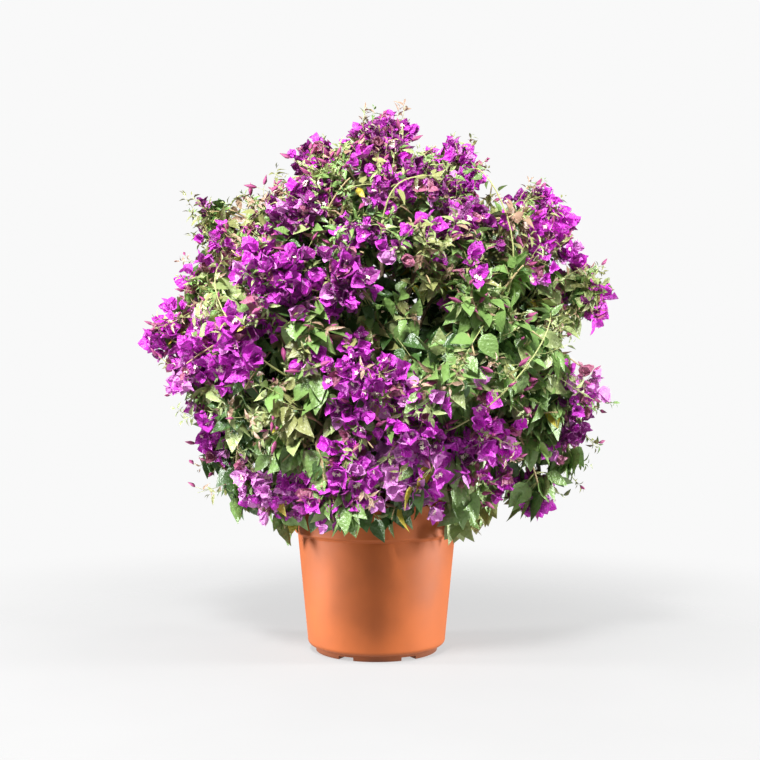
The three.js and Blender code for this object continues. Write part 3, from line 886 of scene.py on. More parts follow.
def deal(weights, rng):
    """For each row of weights, the number of the column that chance picks."""
    shares = np.cumsum(weights, axis=-1) / weights.sum(-1, keepdims=True)
    return (rng.random((len(weights), 1)) > shares).sum(-1)


def young_tints(number, rng):
    return deal(np.broadcast_to(YOUNG_LEAVES, (number, len(YOUNG_LEAVES))), rng)


def leaf_axes(along, turn, hang, rng):
    jitter = rng.normal(0, LEAF_JITTER, along.shape)
    return unit(sideways(along, turn) * 0.9 + along * 0.35 - UP * hang[..., None] + jitter)


def grow_leaves(blades, shoots, directions, tint, places, size, slimness, rng):
    """Leaves along the shoots, largest near the root."""
    number = len(directions)
    start = rng.uniform(0, 360, number)
    low = np.clip(LOW_BELOW - directions[:, 2], 0, 1)
    for i, share in enumerate(places):
        spot = np.clip(share + rng.uniform(-LEAF_SHIFT, LEAF_SHIFT, number), 0, 1)
        roots = bezier(shoots, spot)
        along = bezier_heading(shoots, spot)
        axes = leaf_axes(along, start + TURN * i, LEAF_HANG + LOW_HANG * low, rng)
        lengths = size * (1.2 - 0.4 * share) * rng.uniform(*LEAF_SIZE, number)
        faces = unit(directions * 0.6 + UP * 0.5 + rng.normal(0, FACE_JITTER, axes.shape))
        own = np.where(rng.random(number) < OTHER_LEAVES, rng.integers(0, 3, number), tint)
        own = np.where(rng.random(number) < TURNING, len(LEAF_TINTS) - 1, own)
        widths = lengths * rng.uniform(*LEAF_WIDTH, number) * slimness
        curl = rng.uniform(*LEAF_CURL, number)
        fold = rng.uniform(*LEAF_FOLD, number)
        blades.add(own, roots, axes, faces, lengths, widths, fold, curl, 0.0)


def grow_tufts(bush, shoots, directions, tint, size, rng):
    """Small curling leaves round the growing tip of each shoot."""
    number = len(directions)
    tips = bezier(shoots, np.ones(number))
    along = bezier_heading(shoots, np.ones(number))
    for i in range(TUFT_LEAVES):
        share = i / (TUFT_LEAVES - 1)
        out = 0.95 - 0.65 * share
        turned = sideways(along, rng.uniform(0, TUFT_TURN, number) + TURN * i) * out
        jitter = rng.normal(0, TUFT_JITTER, tips.shape)
        axes = unit(turned + along * (0.3 + 0.7 * share) + jitter)
        roots = tips + along * (TUFT_DEPTH * (share - 0.6)) + axes * TUFT_WIDENING
        lengths = size * (1.25 - 0.75 * share) * rng.uniform(*TUFT_SIZE, number)
        faces = unit(along + UP * 0.2 + rng.normal(0, FACE_JITTER, tips.shape))
        widths = lengths * rng.uniform(*TUFT_WIDTH, number)
        curl = rng.uniform(*TUFT_CURL, number)
        bush["young"].add(tint, roots, axes, faces, lengths, widths, TUFT_FOLD, curl, 0.0)


def stalk_ends(bush, shoots, directions, turn, span, tip, rng):
    """Stalks that leave the end of each shoot sideways and bend outwards, where their tips fit."""
    spot = rng.uniform(STALKS_FROM, 1, len(directions))
    base = bezier(shoots, spot)
    along = bezier_heading(shoots, spot)
    jitter = rng.normal(0, STALK_JITTER, base.shape)
    lean = unit(sideways(along, turn) * 0.75 + along * 0.7 + directions * 0.35 + jitter)
    ends = base + lean * span[:, None]
    bend = base + along * (0.55 * span[:, None])
    onward = unit(ends - bend)
    good = fits(ends + onward * tip)
    bush["stalks"].add(pick((base, bend, ends), good), (STALK_RADIUS * 1.2, STALK_RADIUS), 2)
    return ends[good], onward[good], good


def grow_flowers(bush, shoots, directions, tint, flowers, size, rng):
    """Sprays of three-bracted flowers at the ends of the shoots."""
    tip = 0.5 * size.mean()
    for i in range(flowers):
        kept = rng.random(len(directions)) < 1 - FLOWERS_MISSED * i / flowers
        mine = pick(shoots, kept)
        span = rng.uniform(*FLOWER_STALK, kept.sum())
        turn = rng.uniform(0, STALK_TURN, kept.sum()) + TURN * i
        roots, along, good = stalk_ends(bush, mine, directions[kept], turn, span, tip, rng)
        kept = np.flatnonzero(kept)[good]
        number = len(roots)
        jitter = rng.normal(0, FLOWER_JITTER, roots.shape)
        facing = unit(along * 0.7 + directions[kept] * 0.35 + jitter)
        sizes = size[kept] * rng.uniform(*FLOWER_SIZE, number)
        opening = rng.uniform(*FLOWER_OPENING, number)
        turn = rng.uniform(0, BRACT_TURN, number)
        other = rng.random(number) < OTHER_BRACTS
        own = np.where(other, rng.integers(0, len(BRACT_TINTS), number), tint[kept])
        for j in range(BRACTS):
            spread = sideways(facing, turn + BRACT_TURN * j + rng.normal(0, BRACT_SHIFT, number))
            forward = 1.6 - 1.2 * opening
            axes = unit(spread * 0.84 + facing * forward[:, None])
            lengths = sizes * rng.uniform(*BRACT_SIZE, number)
            widths = lengths * rng.uniform(*BRACT_WIDTH, number)
            fold = rng.uniform(*BRACT_FOLD, number)
            curl = rng.uniform(*BRACT_CURL, number)
            bush["bracts"].add(own, roots, axes, facing, lengths, widths, fold, curl, CRINKLE)
        bush["flowers"].append((roots, facing, sizes, opening))


def grow_buds(bush, shoots, directions, number, size, rng):
    """Closed buds on thin stalks, held out past the leaves."""
    for i in range(number):
        span = rng.uniform(*BUD_STALK, len(directions))
        turn = rng.uniform(0, STALK_TURN, len(directions)) + TURN * i
        roots, along, _ = stalk_ends(bush, shoots, directions, turn, span, size, rng)
        bush["buds"].append((roots, along, size * rng.uniform(*BUD_SIZE, len(roots))))


def dress_whiskers(bush, crown, shoots, directions, rng):
    """Fine shoots on some of the sprays, with small leaves, and buds on a few."""
    whiskers, outward = grow_whiskers(shoots, directions, rng)
    bush["stalks"].add(whiskers, (STALK_RADIUS * 1.6, STALK_RADIUS), 3)
    tints = young_tints(len(outward), rng)
    size = crown.young * WHISKER_LEAF
    grow_leaves(bush["young"], whiskers, outward, tints, WHISKER_PLACES, size, YOUNG_SLIM, rng)
    grow_tufts(bush, whiskers, outward, tints, crown.young * WHISKER_TUFT, rng)
    ending = rng.random(len(outward)) < WHISKERS_BUDDING
    grow_buds(bush, pick(whiskers, ending), outward[ending], WHISKER_BUDS, crown.bud, rng)


def dress_canes(bush, crown, rng):
    """Long canes with leaves towards their tips."""
    canes, upward = grow_canes(rng)
    bush["canes"].add(canes, CANE_RADIUS, CANE_STEPS)
    tints = young_tints(len(upward), rng)
    size = crown.leaf * CANE_LEAF
    grow_leaves(bush["leaves"], canes, upward, tints, LEAF_PLACES[1:], size, CANE_SLIM, rng)
    grow_tufts(bush, canes, upward, tints, crown.young, rng)


def grow_bush(crown):
    """Everything that grows in the crown, as arrays."""
    bush = {kind: Blades() for kind in ("leaves", "young", "bracts")}
    bush |= {kind: Stalks() for kind in ("stalks", "shoots", "twigs", "canes")}
    bush |= {"flowers": [], "buds": []}
    twigs, twig_owner = grow_twigs()
    stems = [np.array([mass["stem"][i] for mass in MASSES]) for i in range(3)]
    bush["twigs"].add(stems, STEM_RADIUS, TWIG_STEPS)
    bush["twigs"].add(twigs, TWIG_RADIUS, TWIG_STEPS)
    grown = grow_shoots(crown, twigs, twig_owner, stream("shoots"))
    shoots, directions, spray, sprays, spray_depth = grown
    bush["shoots"].add(shoots, SHOOT_RADIUS, SHOOT_STEPS)

    high = np.clip((np.degrees(np.arcsin(sprays[:, 2])) - HIGH_FROM) / HIGH_OVER, 0, 1)
    row = high[:, None]
    upper = high[spray]
    outer = (spray_depth > OUTER_DEPTH)[spray]
    rng = stream("blossom")
    flowering = rng.random(len(sprays)) < blossom_share(sprays)
    leaf_weights = LOW_LEAVES * (1 - row) + HIGH_LEAVES * row
    inner = (spray_depth <= OUTER_DEPTH)[:, None]
    leaf_tint = deal(np.where(inner, INNER_LEAVES, leaf_weights), rng)[spray]
    # Bract tints turn towards deep purple with height, partly as painted shade
    bract_tint = deal(LOW_BRACTS * (1 - row) + HIGH_BRACTS_WITH_PAINTED_SHADE * row, rng)[spray]
    stray = crown.stray * (LOW_STRAY + (1 - LOW_STRAY) * upper)
    bloom = rng.random(len(spray)) < np.where(flowering[spray], IN_BLOSSOM, stray)
    bloom &= outer
    green = ~bloom
    leaf_size = crown.leaf * (1 - HIGH_SHRINK * upper)
    spray_size = rng.uniform(*SPRAY_SIZE, len(sprays)) + LOW_GAIN * (1 - high)
    bract_size = crown.bract * spray_size[spray]

    rng = stream("tips")
    tuft_share = np.where(green, between(TUFTS_ON_GREEN, upper), between(TUFTS_ON_BLOOM, upper))
    tufted = outer & (rng.random(len(spray)) < tuft_share)
    budding = outer & (rng.random(len(spray)) < crown.buds)
    whisker_share = crown.whiskers * between(WHISKERS_BY_HEIGHT, upper)
    standing = outer & (rng.random(len(spray)) < whisker_share)

    def some(chosen):
        return pick(shoots, chosen), directions[chosen]

    rng = stream("leaves")
    leaves = bush["leaves"]
    grow_leaves(leaves, *some(green), leaf_tint[green], LEAF_PLACES, leaf_size[green], 1.0, rng)
    size = leaf_size[bloom] * BLOOM_LEAF
    grow_leaves(leaves, *some(bloom), leaf_tint[bloom], LEAF_PLACES[:3], size, 1.0, rng)
    grow_tufts(bush, *some(tufted), young_tints(tufted.sum(), rng), crown.young, rng)
    rng = stream("flowers")
    grow_flowers(bush, *some(bloom), bract_tint[bloom], crown.flowers, bract_size[bloom], rng)
    grow_buds(bush, *some(budding), SHOOT_BUDS, crown.bud, rng)
    dress_whiskers(bush, crown, *some(standing), stream("whiskers"))
    dress_canes(bush, crown, stream("canes"))
    return bush


# Joined meshes from arrays


def repeat_faces(template, copies, corners):
    offsets = np.arange(copies)[:, None, None] * corners
    return (np.array(template)[None] + offsets).reshape(-1, 3)


def blade_mesh(roots, axes, faces, lengths, widths, fold, curl, crinkle, outline, rng):
    """Thin blades with a midrib fold, a curl along their length and an uneven edge."""
    columns = 3  # the two edges and the midrib
    stations, half = np.array(outline, float).T
    rows = len(stations) - 2
    places = np.linspace(-1, 1, columns)
    along = np.concatenate(([0], np.repeat(stations[1:-1], columns), [1]))
    across = np.concatenate(([0], np.outer(half[1:-1], places).ravel(), [0]))
    side = unit(np.cross(axes, faces))
    up = np.cross(side, axes)
    edge = np.abs(across) * widths[:, None] / 2
    raised = edge * fold[:, None] - (along**2) * (curl * lengths)[:, None]
    uneven = rng.normal(0, 1, raised.shape) * (crinkle * lengths)[:, None]
    raised = raised + uneven * np.abs(across)
    vertices = (
        roots[:, None]
        + axes[:, None] * (along * lengths[:, None])[..., None]
        + side[:, None] * (across * widths[:, None] / 2)[..., None]
        + up[:, None] * raised[..., None]
    )
    corners = columns * rows + 2
    last = corners - 1 - columns
    template = [(0, k + 2, k + 1) for k in range(columns - 1)]
    for row in range(rows - 1):
        left = 1 + columns * row
        for a in range(left, left + columns - 1):
            template += [(a, a + 1, a + 1 + columns), (a, a + 1 + columns, a + columns)]
    template += [(last + k, last + k + 1, corners - 1) for k in range(columns - 1)]
    uv = np.broadcast_to(np.stack((across / 2 + 0.5, along), -1), (len(roots), corners, 2))
    triangles = repeat_faces(template, len(roots), corners)
    return vertices.reshape(-1, 3), triangles, uv.reshape(-1, 2)


def tube_mesh(paths, radii, sides):
    """Closed tapering tubes through the points of the paths."""
    number, rings, _ = paths.shape
    reference = sideways(unit(paths[:, -1] - paths[:, 0]), np.zeros(number))[:, None]
    along = unit(np.gradient(paths, axis=1))
    across = unit(reference - along * (reference * along).sum(-1, keepdims=True))
    around = np.cross(along, across)
    angle = 2 * np.pi * np.arange(sides) / sides
    ring = across[:, :, None] * np.cos(angle)[:, None] + around[:, :, None] * np.sin(angle)[:, None]
    vertices = paths[:, :, None] + ring * radii[:, :, None, None]
    template = []
    for i in range(rings - 1):
        for j in range(sides):
            a = i * sides + j
            b = i * sides + (j + 1) % sides
            template += [(a, b, a + sides), (b, b + sides, a + sides)]
    end = (rings - 1) * sides
    for j in range(1, sides - 1):
        template += [(0, j + 1, j), (end, end + j, end + j + 1)]
    return vertices.reshape(-1, 3), repeat_faces(template, number, rings * sides)


def join_parts(parts):
    """One mesh of several, each given as vertices, triangles and, for blades, their map."""
    offsets = np.cumsum([0] + [len(part[0]) for part in parts[:-1]])
    triangles = np.concatenate([part[1] + offset for part, offset in zip(parts, offsets)])
    vertices, *maps = (np.concatenate(column) for column in list(zip(*parts))[::2])
    return vertices, triangles, *maps


def stalk_mesh(stalks, sides):
    tubes = zip(stalks.paths, stalks.radii)
    return join_parts([tube_mesh(path, radius, sides) for path, radius in tubes])


def bud_mesh(buds):
    """Slim closed buds with three flat sides, one for each folded bract."""
    roots, axes, lengths = (np.concatenate(column) for column in zip(*buds))
    shares, radius = np.array(BUD_SHAPE).T
    paths = roots[:, None] + axes[:, None] * (shares * lengths[:, None])[..., None]
    return tube_mesh(paths, radius * lengths[:, None], BRACTS)


def flower_mesh(flowers, rng):
    """A cream tube with an open five-pointed star inside some of the bracts."""
    parts = []
    corners = 2 * STAR_POINTS
    angle = 2 * np.pi * np.arange(corners) / corners
    radius = np.where(np.arange(corners) % 2, STAR_RADIUS[1], STAR_RADIUS[0])[:, None]
    steps, width = np.array(TUBE_SHAPE).T
    template = [(0, k + 1, (k + 1) % corners + 1) for k in range(corners)]
    for roots, facing, lengths, opening in flowers:
        number = len(roots)
        for j in range(BRACTS):
            kept = (opening > FLOWER_OPEN) & (rng.random(number) < FLOWER_SHOWN)
            lean = sideways(facing, np.full(number, BRACT_TURN / 2 + BRACT_TURN * j))
            axes = unit(facing + lean * FLOWER_LEAN)[kept]
            span = (lengths * rng.uniform(*FLOWER_LENGTH, number))[kept]
            paths = roots[kept][:, None] + axes[:, None] * (steps * span[:, None])[..., None]
            parts.append(tube_mesh(paths, np.broadcast_to(width, (len(span), len(width))), 3))
            across = sideways(axes, np.zeros(len(axes)))
            around = np.cross(axes, across)
            rim = across[:, None] * np.cos(angle)[:, None]
            rim = rim + around[:, None] * np.sin(angle)[:, None]
            centre = roots[kept] + axes * span[:, None]
            rim = centre[:, None] + rim * radius + axes[:, None] * STAR_DISH
            star = np.concatenate((centre[:, None], rim), axis=1)
            triangles = repeat_faces(template, len(star), corners + 1)
            parts.append((star.reshape(-1, 3), triangles))
    return join_parts(parts)


def bark_tube(controls, radii, sides, rng):
    """One limb whose surface is furrowed lengthways, with rings at old leaf scars."""
    rings = len(radii)
    shares = np.linspace(0, 1, rings)
    path = bezier(controls, shares)[None]
    vertices, triangles = tube_mesh(path, radii[None], sides)
    grid = vertices.reshape(rings, sides, 3)
    angle = 2 * np.pi * np.arange(sides) / sides
    relief = np.zeros((rings, sides))
    for furrows, pitch, depth in FURROWS:
        phase = rng.uniform(0, 2 * np.pi, 2)
        sway = np.sin(shares * pitch + phase[0])[:, None]
        relief += depth * np.sin(furrows * angle + FURROW_SWAY * sway + phase[1])
    scars = np.exp(-(((shares * rings / SCAR_EVERY) % 1 - 0.5) ** 2) / SCAR_WIDTH)[:, None]
    relief += SCAR_RELIEF * scars + rng.normal(0, BARK_GRAIN, relief.shape)
    grid += (grid - path[0][:, None]) * relief[..., None]
    return grid.reshape(-1, 3), triangles


def new_piece(name, vertices, triangles, material, smooth=True, uv=None):
    """A mesh object that rides on the part's body, with its place in its mesh."""
    mesh = bpy.data.meshes.new(name)
    mesh.vertices.add(len(vertices))
    mesh.vertices.foreach_set("co", vertices.astype(np.float32).ravel())
    mesh.loops.add(triangles.size)
    mesh.loops.foreach_set("vertex_index", triangles.astype(np.int32).ravel())
    mesh.polygons.add(len(triangles))
    mesh.polygons.foreach_set("loop_start", np.arange(0, triangles.size, 3, dtype=np.int32))
    mesh.polygons.foreach_set("use_smooth", np.full(len(triangles), smooth))
    if uv is not None:
        layer = mesh.uv_layers.new(name=BLADE_MAP)
        layer.uv.foreach_set("vector", uv[triangles.ravel()].astype(np.float32).ravel())
    mesh.update(calc_edges=True)
    mesh.materials.append(material)
    piece = bpy.data.objects.new(name, mesh)
    bpy.context.scene.collection.objects.link(piece)
    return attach(piece, BODY)


# Materials

BLADE_MAP = "Blade"  # the map that gives places across and along a blade
MIDRIB_WIDTH = 0.08
MIDRIB_STEEPNESS = 12.0
# Darker brown mixed into the pot towards its foot: partly a dust stain, partly painted shade where
# the pot stands on the floor
FOOT_STAIN_AND_SHADE_TONE = srgb(112, 64, 40)
STAIN_AND_SHADE_AT_FOOT = 1.2
STAIN_AND_SHADE_FADING = 60.0  # per metre of height
STAIN_AND_SHADE_STRENGTH = 1.5
MOST_STAIN_AND_SHADE = 0.85
# The Mix node's colour sockets have the same names as its number sockets, so they go by place
MIX_SHARE, MIX_FIRST, MIX_SECOND = 0, 6, 7
MIX_RESULT = 2


class Finish:
    """A new material, with short ways to add nodes and to set or feed their sockets."""

    def __init__(self, name, roughness, specular=0.5):
        self.material = bpy.data.materials.new(name)
        self.material.use_nodes = True
        self.nodes = self.material.node_tree.nodes
        self.links = self.material.node_tree.links
        self.shader = self.nodes["Principled BSDF"]
        self.place = self.nodes.new("ShaderNodeTexCoord").outputs["Object"]
        self.shade("Roughness", roughness)
        self.shade("Specular IOR Level", specular)

    def feed(self, socket, value):
        """Gives a socket its value, or the output that feeds it."""
        if isinstance(value, bpy.types.NodeSocket):
            self.links.new(value, socket)
        else:
            socket.default_value = value

    def shade(self, name, value):
        self.feed(self.shader.inputs[name], value)

    def node(self, kind, **values):
        node = self.nodes.new(kind)
        for name, value in values.items():
            self.feed(node.inputs[name.replace("_", " ")], value)
        return node

    def maths(self, operation, first, second=0.0):
        node = self.nodes.new("ShaderNodeMath")
        node.operation = operation
        self.feed(node.inputs[0], first)
        self.feed(node.inputs[1], second)
        return node.outputs[0]

    def noise(self, scale, detail, place=None):
        node = self.node("ShaderNodeTexNoise", Scale=scale, Detail=detail)
        self.feed(node.inputs["Vector"], self.place if place is None else place)
        return node.outputs["Fac"]

    def ramp(self, source, stops):
        """A colour ramp over the stops, each a place from 0 to 1 and a linear colour."""
        node = self.node("ShaderNodeValToRGB", Fac=source)
        elements = node.color_ramp.elements
        while len(elements) < len(stops):
            elements.new(1.0)
        for element, (place, tone) in zip(elements, stops):
            element.position = place
            element.color = (*tone, 1)
        return node.outputs["Color"]

    def bump(self, height, strength, distance):
        node = self.node("ShaderNodeBump", Height=height, Strength=strength, Distance=distance)
        self.shade("Normal", node.outputs["Normal"])


def shaded(tone, share):
    return tuple(min(value * share, 1.0) for value in tone)


def blade_material(name, tone, roughness, sheen, veins, relief, crumple):
    """A plain colour with side veins that rise from the midrib, over a faint crumpling."""
    finish = Finish(name, roughness, specular=0.7)
    finish.shade("Base Color", (*tone, 1))
    finish.shade("Sheen Weight", sheen)
    finish.shade("Sheen Roughness", 0.4)
    blade = finish.nodes.new("ShaderNodeUVMap")
    blade.uv_map = BLADE_MAP
    parts = finish.node("ShaderNodeSeparateXYZ", Vector=blade.outputs["UV"])
    aside = finish.maths("ABSOLUTE", finish.maths("SUBTRACT", parts.outputs["X"], 0.5))
    slant = finish.maths("SUBTRACT", parts.outputs["Y"], finish.maths("MULTIPLY", aside, 0.5))
    wave = finish.maths("SINE", finish.maths("MULTIPLY", slant, veins * 2 * math.pi))
    rib = finish.maths("MULTIPLY", finish.maths("MINIMUM", aside, MIDRIB_WIDTH), -MIDRIB_STEEPNESS)
    veined = finish.maths("MULTIPLY", finish.maths("ADD", wave, rib), relief)
    crumpled = finish.maths("MULTIPLY", finish.noise(scale=130.0, detail=4.0), crumple)
    finish.bump(finish.maths("ADD", veined, crumpled), strength=1.0, distance=0.001)
    return finish.material


def stalk_material(name, tone, roughness):
    finish = Finish(name, roughness)
    finish.shade("Base Color", (*tone, 1))
    finish.bump(finish.noise(scale=900.0, detail=2.0), strength=0.4, distance=0.0003)
    return finish.material


def terracotta(tone):
    """Moulded plastic: faint clouding, fine grain, and darker brown towards the foot, partly a dust
    stain and partly painted shade where the pot meets the floor.
    """
    finish = Finish("terracotta_plastic", 0.5, specular=0.38)
    clouds = finish.noise(scale=14.0, detail=5.0)
    stops = ((0.25, shaded(tone, 0.86)), (0.55, tone), (0.8, shaded(tone, 1.1)))
    base = finish.ramp(clouds, stops)
    height = finish.node("ShaderNodeSeparateXYZ", Vector=finish.place).outputs["Z"]
    # Painted shade and dust stain at the foot: the darker brown fades out over the lowest 20 mm
    low = finish.maths("SUBTRACT", STAIN_AND_SHADE_AT_FOOT, finish.maths("MULTIPLY", height, STAIN_AND_SHADE_FADING))
    patchy_stain_and_shade = finish.maths("MULTIPLY", finish.maths("MAXIMUM", low, 0.0), clouds)
    stain_and_shade = finish.maths("MINIMUM", finish.maths("MULTIPLY", patchy_stain_and_shade, STAIN_AND_SHADE_STRENGTH), MOST_STAIN_AND_SHADE)
    mix = finish.nodes.new("ShaderNodeMix")
    mix.data_type = "RGBA"
    finish.feed(mix.inputs[MIX_SHARE], stain_and_shade)
    finish.feed(mix.inputs[MIX_FIRST], base)
    finish.feed(mix.inputs[MIX_SECOND], (*FOOT_STAIN_AND_SHADE_TONE, 1))
    finish.shade("Base Color", mix.outputs[MIX_RESULT])
    finish.shade("Roughness", finish.maths("ADD", finish.maths("MULTIPLY", clouds, 0.22), 0.5))
    finish.bump(finish.noise(scale=900.0, detail=3.0), strength=0.25, distance=0.0004)
    return finish.material


def compost(tone):
    """Dark fibrous crumbs with paler flecks."""
    finish = Finish("damp_compost", 0.95, specular=0.2)
    flecks = finish.noise(scale=120.0, detail=6.0)
    stops = ((0.35, shaded(tone, 0.45)), (0.6, tone), (0.78, shaded(tone, 2.6)))
    finish.shade("Base Color", finish.ramp(flecks, stops))
    crumbs = finish.node("ShaderNodeTexVoronoi", Vector=finish.place, Scale=260.0)
    finish.bump(crumbs.outputs["Distance"], strength=0.9, distance=0.003)
    return finish.material


def bark(tone):
    """Grey-brown bark with lengthwise cracks and pale scars."""
    finish = Finish("woody_bark", 0.85, specular=0.3)
    drawn_out = finish.node("ShaderNodeMapping", Vector=finish.place, Scale=(1.0, 1.0, 0.22))
    fibres = finish.noise(scale=420.0, detail=6.0, place=drawn_out.outputs["Vector"])
    patches = finish.noise(scale=40.0, detail=3.0)
    blend = finish.maths("MULTIPLY", finish.maths("ADD", fibres, patches), 0.5)
    stops = ((0.36, shaded(tone, 0.35)), (0.52, tone), (0.66, shaded(tone, 1.6)))
    finish.shade("Base Color", finish.ramp(blend, stops))
    finish.bump(fibres, strength=0.9, distance=0.0015)
    return finish.material


def plain_floor():
    """A matt pale studio floor that thins out into the white round it."""
    finish = Finish("pale_floor", 0.9, specular=0.1)
    tones = ((0.3, FLOOR_TONES[0]), (0.7, FLOOR_TONES[1]))
    finish.shade("Base Color", finish.ramp(finish.noise(scale=3.0, detail=2.0), tones))
    finish.shade("Emission Color", (1, 1, 1, 1))
    finish.shade("Emission Strength", FLOOR_GLOW)
    far = finish.nodes.new("ShaderNodeVectorMath")
    far.operation = "LENGTH"
    finish.feed(far.inputs[0], finish.place)
    near_edge, far_edge = FLOOR_FADE
    fade = finish.node(
        "ShaderNodeMapRange", Value=far.outputs["Value"], From_Min=near_edge, From_Max=far_edge
    )
    fade.interpolation_type = "SMOOTHSTEP"
    clear = finish.nodes.new("ShaderNodeBsdfTransparent")
    mix = finish.nodes.new("ShaderNodeMixShader")
    sources = (fade.outputs["Result"], finish.shader.outputs["BSDF"], clear.outputs["BSDF"])
    for socket, source in zip(mix.inputs, sources):
        finish.feed(socket, source)
    finish.feed(finish.nodes["Material Output"].inputs["Surface"], mix.outputs["Shader"])
    return finish.material


# Pieces modelled by hand tools

POT_SEGMENTS = 128
POT_FLOOR = 0.004  # thickness of the floor over the foot
FLOOR_EDGE = 0.006  # slant between the floor and the wall inside
FLOOR_CENTRE = 0.020  # radius of the inner ring that closes the floor
FOOT_FLARE = 0.001
LOW_ROUNDING = 0.010  # radius of the rounded lower edge
LOW_RUN_OUT = 0.002  # that edge runs on into the wall for this height
GROOVE = ((0.0006, 0.006), (0.0014, 0.0045), (0.0006, 0.003))  # depths, and drops under the collar
COLLAR_ROUNDING = 0.003
COLLAR_CREASE = 0.001  # the rounding starts this far inside the collar
BEAD = (0.0012, 0.008)  # how far the collar stands out over its lower edge, and how high up
RIM_TAPER = ((0.0006, 0.010), (0.0, 0.007))  # depths, and drops under the rim
LIP_RADIUS = 0.0022
COLLAR_INSIDE = 0.005  # inside, the step under the collar is this high
INNER_TAPER = 0.0025  # inside, the collar widens less than outside by this
DRAIN_COUNT = 6
DRAIN_FIRST_AZIMUTH = -29
DRAIN_SIZE = (0.030, 0.035, 0.012)
DRAIN_RADIUS = 0.1015
MERGE_WITHIN = 0.00001
SOFT_EDGE = 0.0005
SOFT_EDGE_ABOVE = 40  # degrees between the faces of an edge that is softened
SMOOTH_BELOW = 35  # degrees between faces that are shaded as one

COMPOST_SEGMENTS = 96
COMPOST_RINGS = 9
CRUMBS = (-0.004, 0.0035)  # how far crumbs lie under and over the top
EVEN_RIM = 0.004  # the width at the wall that stays even


def deselect_all():
    bpy.ops.object.select_all(action="DESELECT")


def active():
    return bpy.context.view_layer.objects.active


def edit_all():
    """Enters edit mode with all faces selected."""
    bpy.ops.object.mode_set(mode="EDIT")
    bpy.ops.mesh.select_mode(type="FACE")
    bpy.ops.mesh.select_all(action="SELECT")


def leave_edit():
    """Turns all faces outwards and goes back to object mode."""
    bpy.ops.mesh.select_all(action="SELECT")
    bpy.ops.mesh.normals_make_consistent(inside=False)
    bpy.ops.object.mode_set(mode="OBJECT")


def start_disc(vertices, radius, height):
    """A new disc with its face selected in edit mode, ready to be raised."""
    deselect_all()
    bpy.ops.mesh.primitive_circle_add(
        vertices=vertices, radius=radius, fill_type="NGON", location=(0, 0, height)
    )
    edit_all()
    return active()


def raise_rings(profile):
    """Extrudes the selected face up through the profile's rings, each a radius and a height."""
    for (radius, height), (next_radius, next_height) in zip(profile, profile[1:]):
        bpy.ops.mesh.extrude_region_move(
            TRANSFORM_OT_translate={"value": (0, 0, next_height - height)}
        )
        share = next_radius / radius
        bpy.ops.transform.resize(value=(share, share, 1), center_override=(0, 0, next_height))


def arc_profile(centre, radius, start, stop, steps):
    """Profile points on an arc: angles run from 0, straight out, to 90, straight up."""
    angles = np.radians(np.linspace(start, stop, steps + 1))
    return [(centre[0] + radius * math.cos(a), centre[1] + radius * math.sin(a)) for a in angles]


def pot_profile(pot):
    """Radius and height from the foot up the outside, over the rim and down to the floor inside."""
    edge = pot.low_radius - LOW_ROUNDING
    floor_top = pot.foot_height + POT_FLOOR
    low_arc = (edge, pot.foot_height + LOW_ROUNDING)
    collar_arc = (pot.collar_radius - COLLAR_CREASE, pot.collar_low + COLLAR_ROUNDING)
    lip = (pot.rim_radius - LIP_RADIUS, pot.height - LIP_RADIUS)
    outer = [
        (pot.foot_radius, 0.0),
        (pot.foot_radius + FOOT_FLARE, pot.foot_height),
        (edge, pot.foot_height),
        *arc_profile(low_arc, LOW_ROUNDING, -70, -8, 5),
        (pot.low_radius, pot.low_height + LOW_RUN_OUT),
        *((pot.high_radius - depth, pot.collar_low - drop) for depth, drop in GROOVE),
        (pot.high_radius, pot.collar_low),
        *arc_profile(collar_arc, COLLAR_ROUNDING, -80, 20, 4),
        (pot.collar_radius + BEAD[0], pot.collar_low + BEAD[1]),
        *((pot.rim_radius - depth, pot.height - drop) for depth, drop in RIM_TAPER),
        *arc_profile(lip, LIP_RADIUS, 0, 180, 6),
    ]
    inside = [
        (pot.collar_radius - pot.wall, pot.collar_low + COLLAR_INSIDE),
        (pot.high_radius - pot.wall, pot.collar_low),
        (pot.low_radius - pot.wall, floor_top + FLOOR_EDGE),
        (pot.low_radius - pot.wall - FLOOR_EDGE, floor_top),
        (FLOOR_CENTRE, floor_top),
    ]
    return outer + inside


def cut_drains(body):
    for k in range(DRAIN_COUNT):
        azimuth = math.radians(DRAIN_FIRST_AZIMUTH + 360 / DRAIN_COUNT * k)
        deselect_all()
        spot = (DRAIN_RADIUS * math.sin(azimuth), -DRAIN_RADIUS * math.cos(azimuth), 0)
        bpy.ops.mesh.primitive_cube_add(size=1, location=spot, rotation=(0, 0, azimuth))
        cutter = active()
        cutter.scale = DRAIN_SIZE
        cut = body.modifiers.new("drain", "BOOLEAN")
        cut.operation = "DIFFERENCE"
        cut.object = cutter
        bpy.context.view_layer.objects.active = body
        bpy.ops.object.modifier_apply(modifier=cut.name)
        bpy.data.objects.remove(cutter)


def model_pot(pot):
    profile = pot_profile(pot)
    body = start_disc(POT_SEGMENTS, *profile[0])
    raise_rings(profile)
    bpy.ops.mesh.select_all(action="SELECT")
    bpy.ops.mesh.remove_doubles(threshold=MERGE_WITHIN)
    leave_edit()
    cut_drains(body)
    bpy.context.view_layer.objects.active = body
    bevel = body.modifiers.new("soft edges", "BEVEL")
    bevel.width = SOFT_EDGE
    bevel.segments = 2
    bevel.angle_limit = math.radians(SOFT_EDGE_ABOVE)
    bpy.ops.object.modifier_apply(modifier=bevel.name)
    deselect_all()
    body.select_set(True)
    bpy.ops.object.shade_smooth_by_angle(angle=math.radians(SMOOTH_BELOW))
    body.name = body.data.name = "pot_body"
    body.data.materials.append(terracotta(pot.tone))
    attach(body, BODY)
    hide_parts("pot")


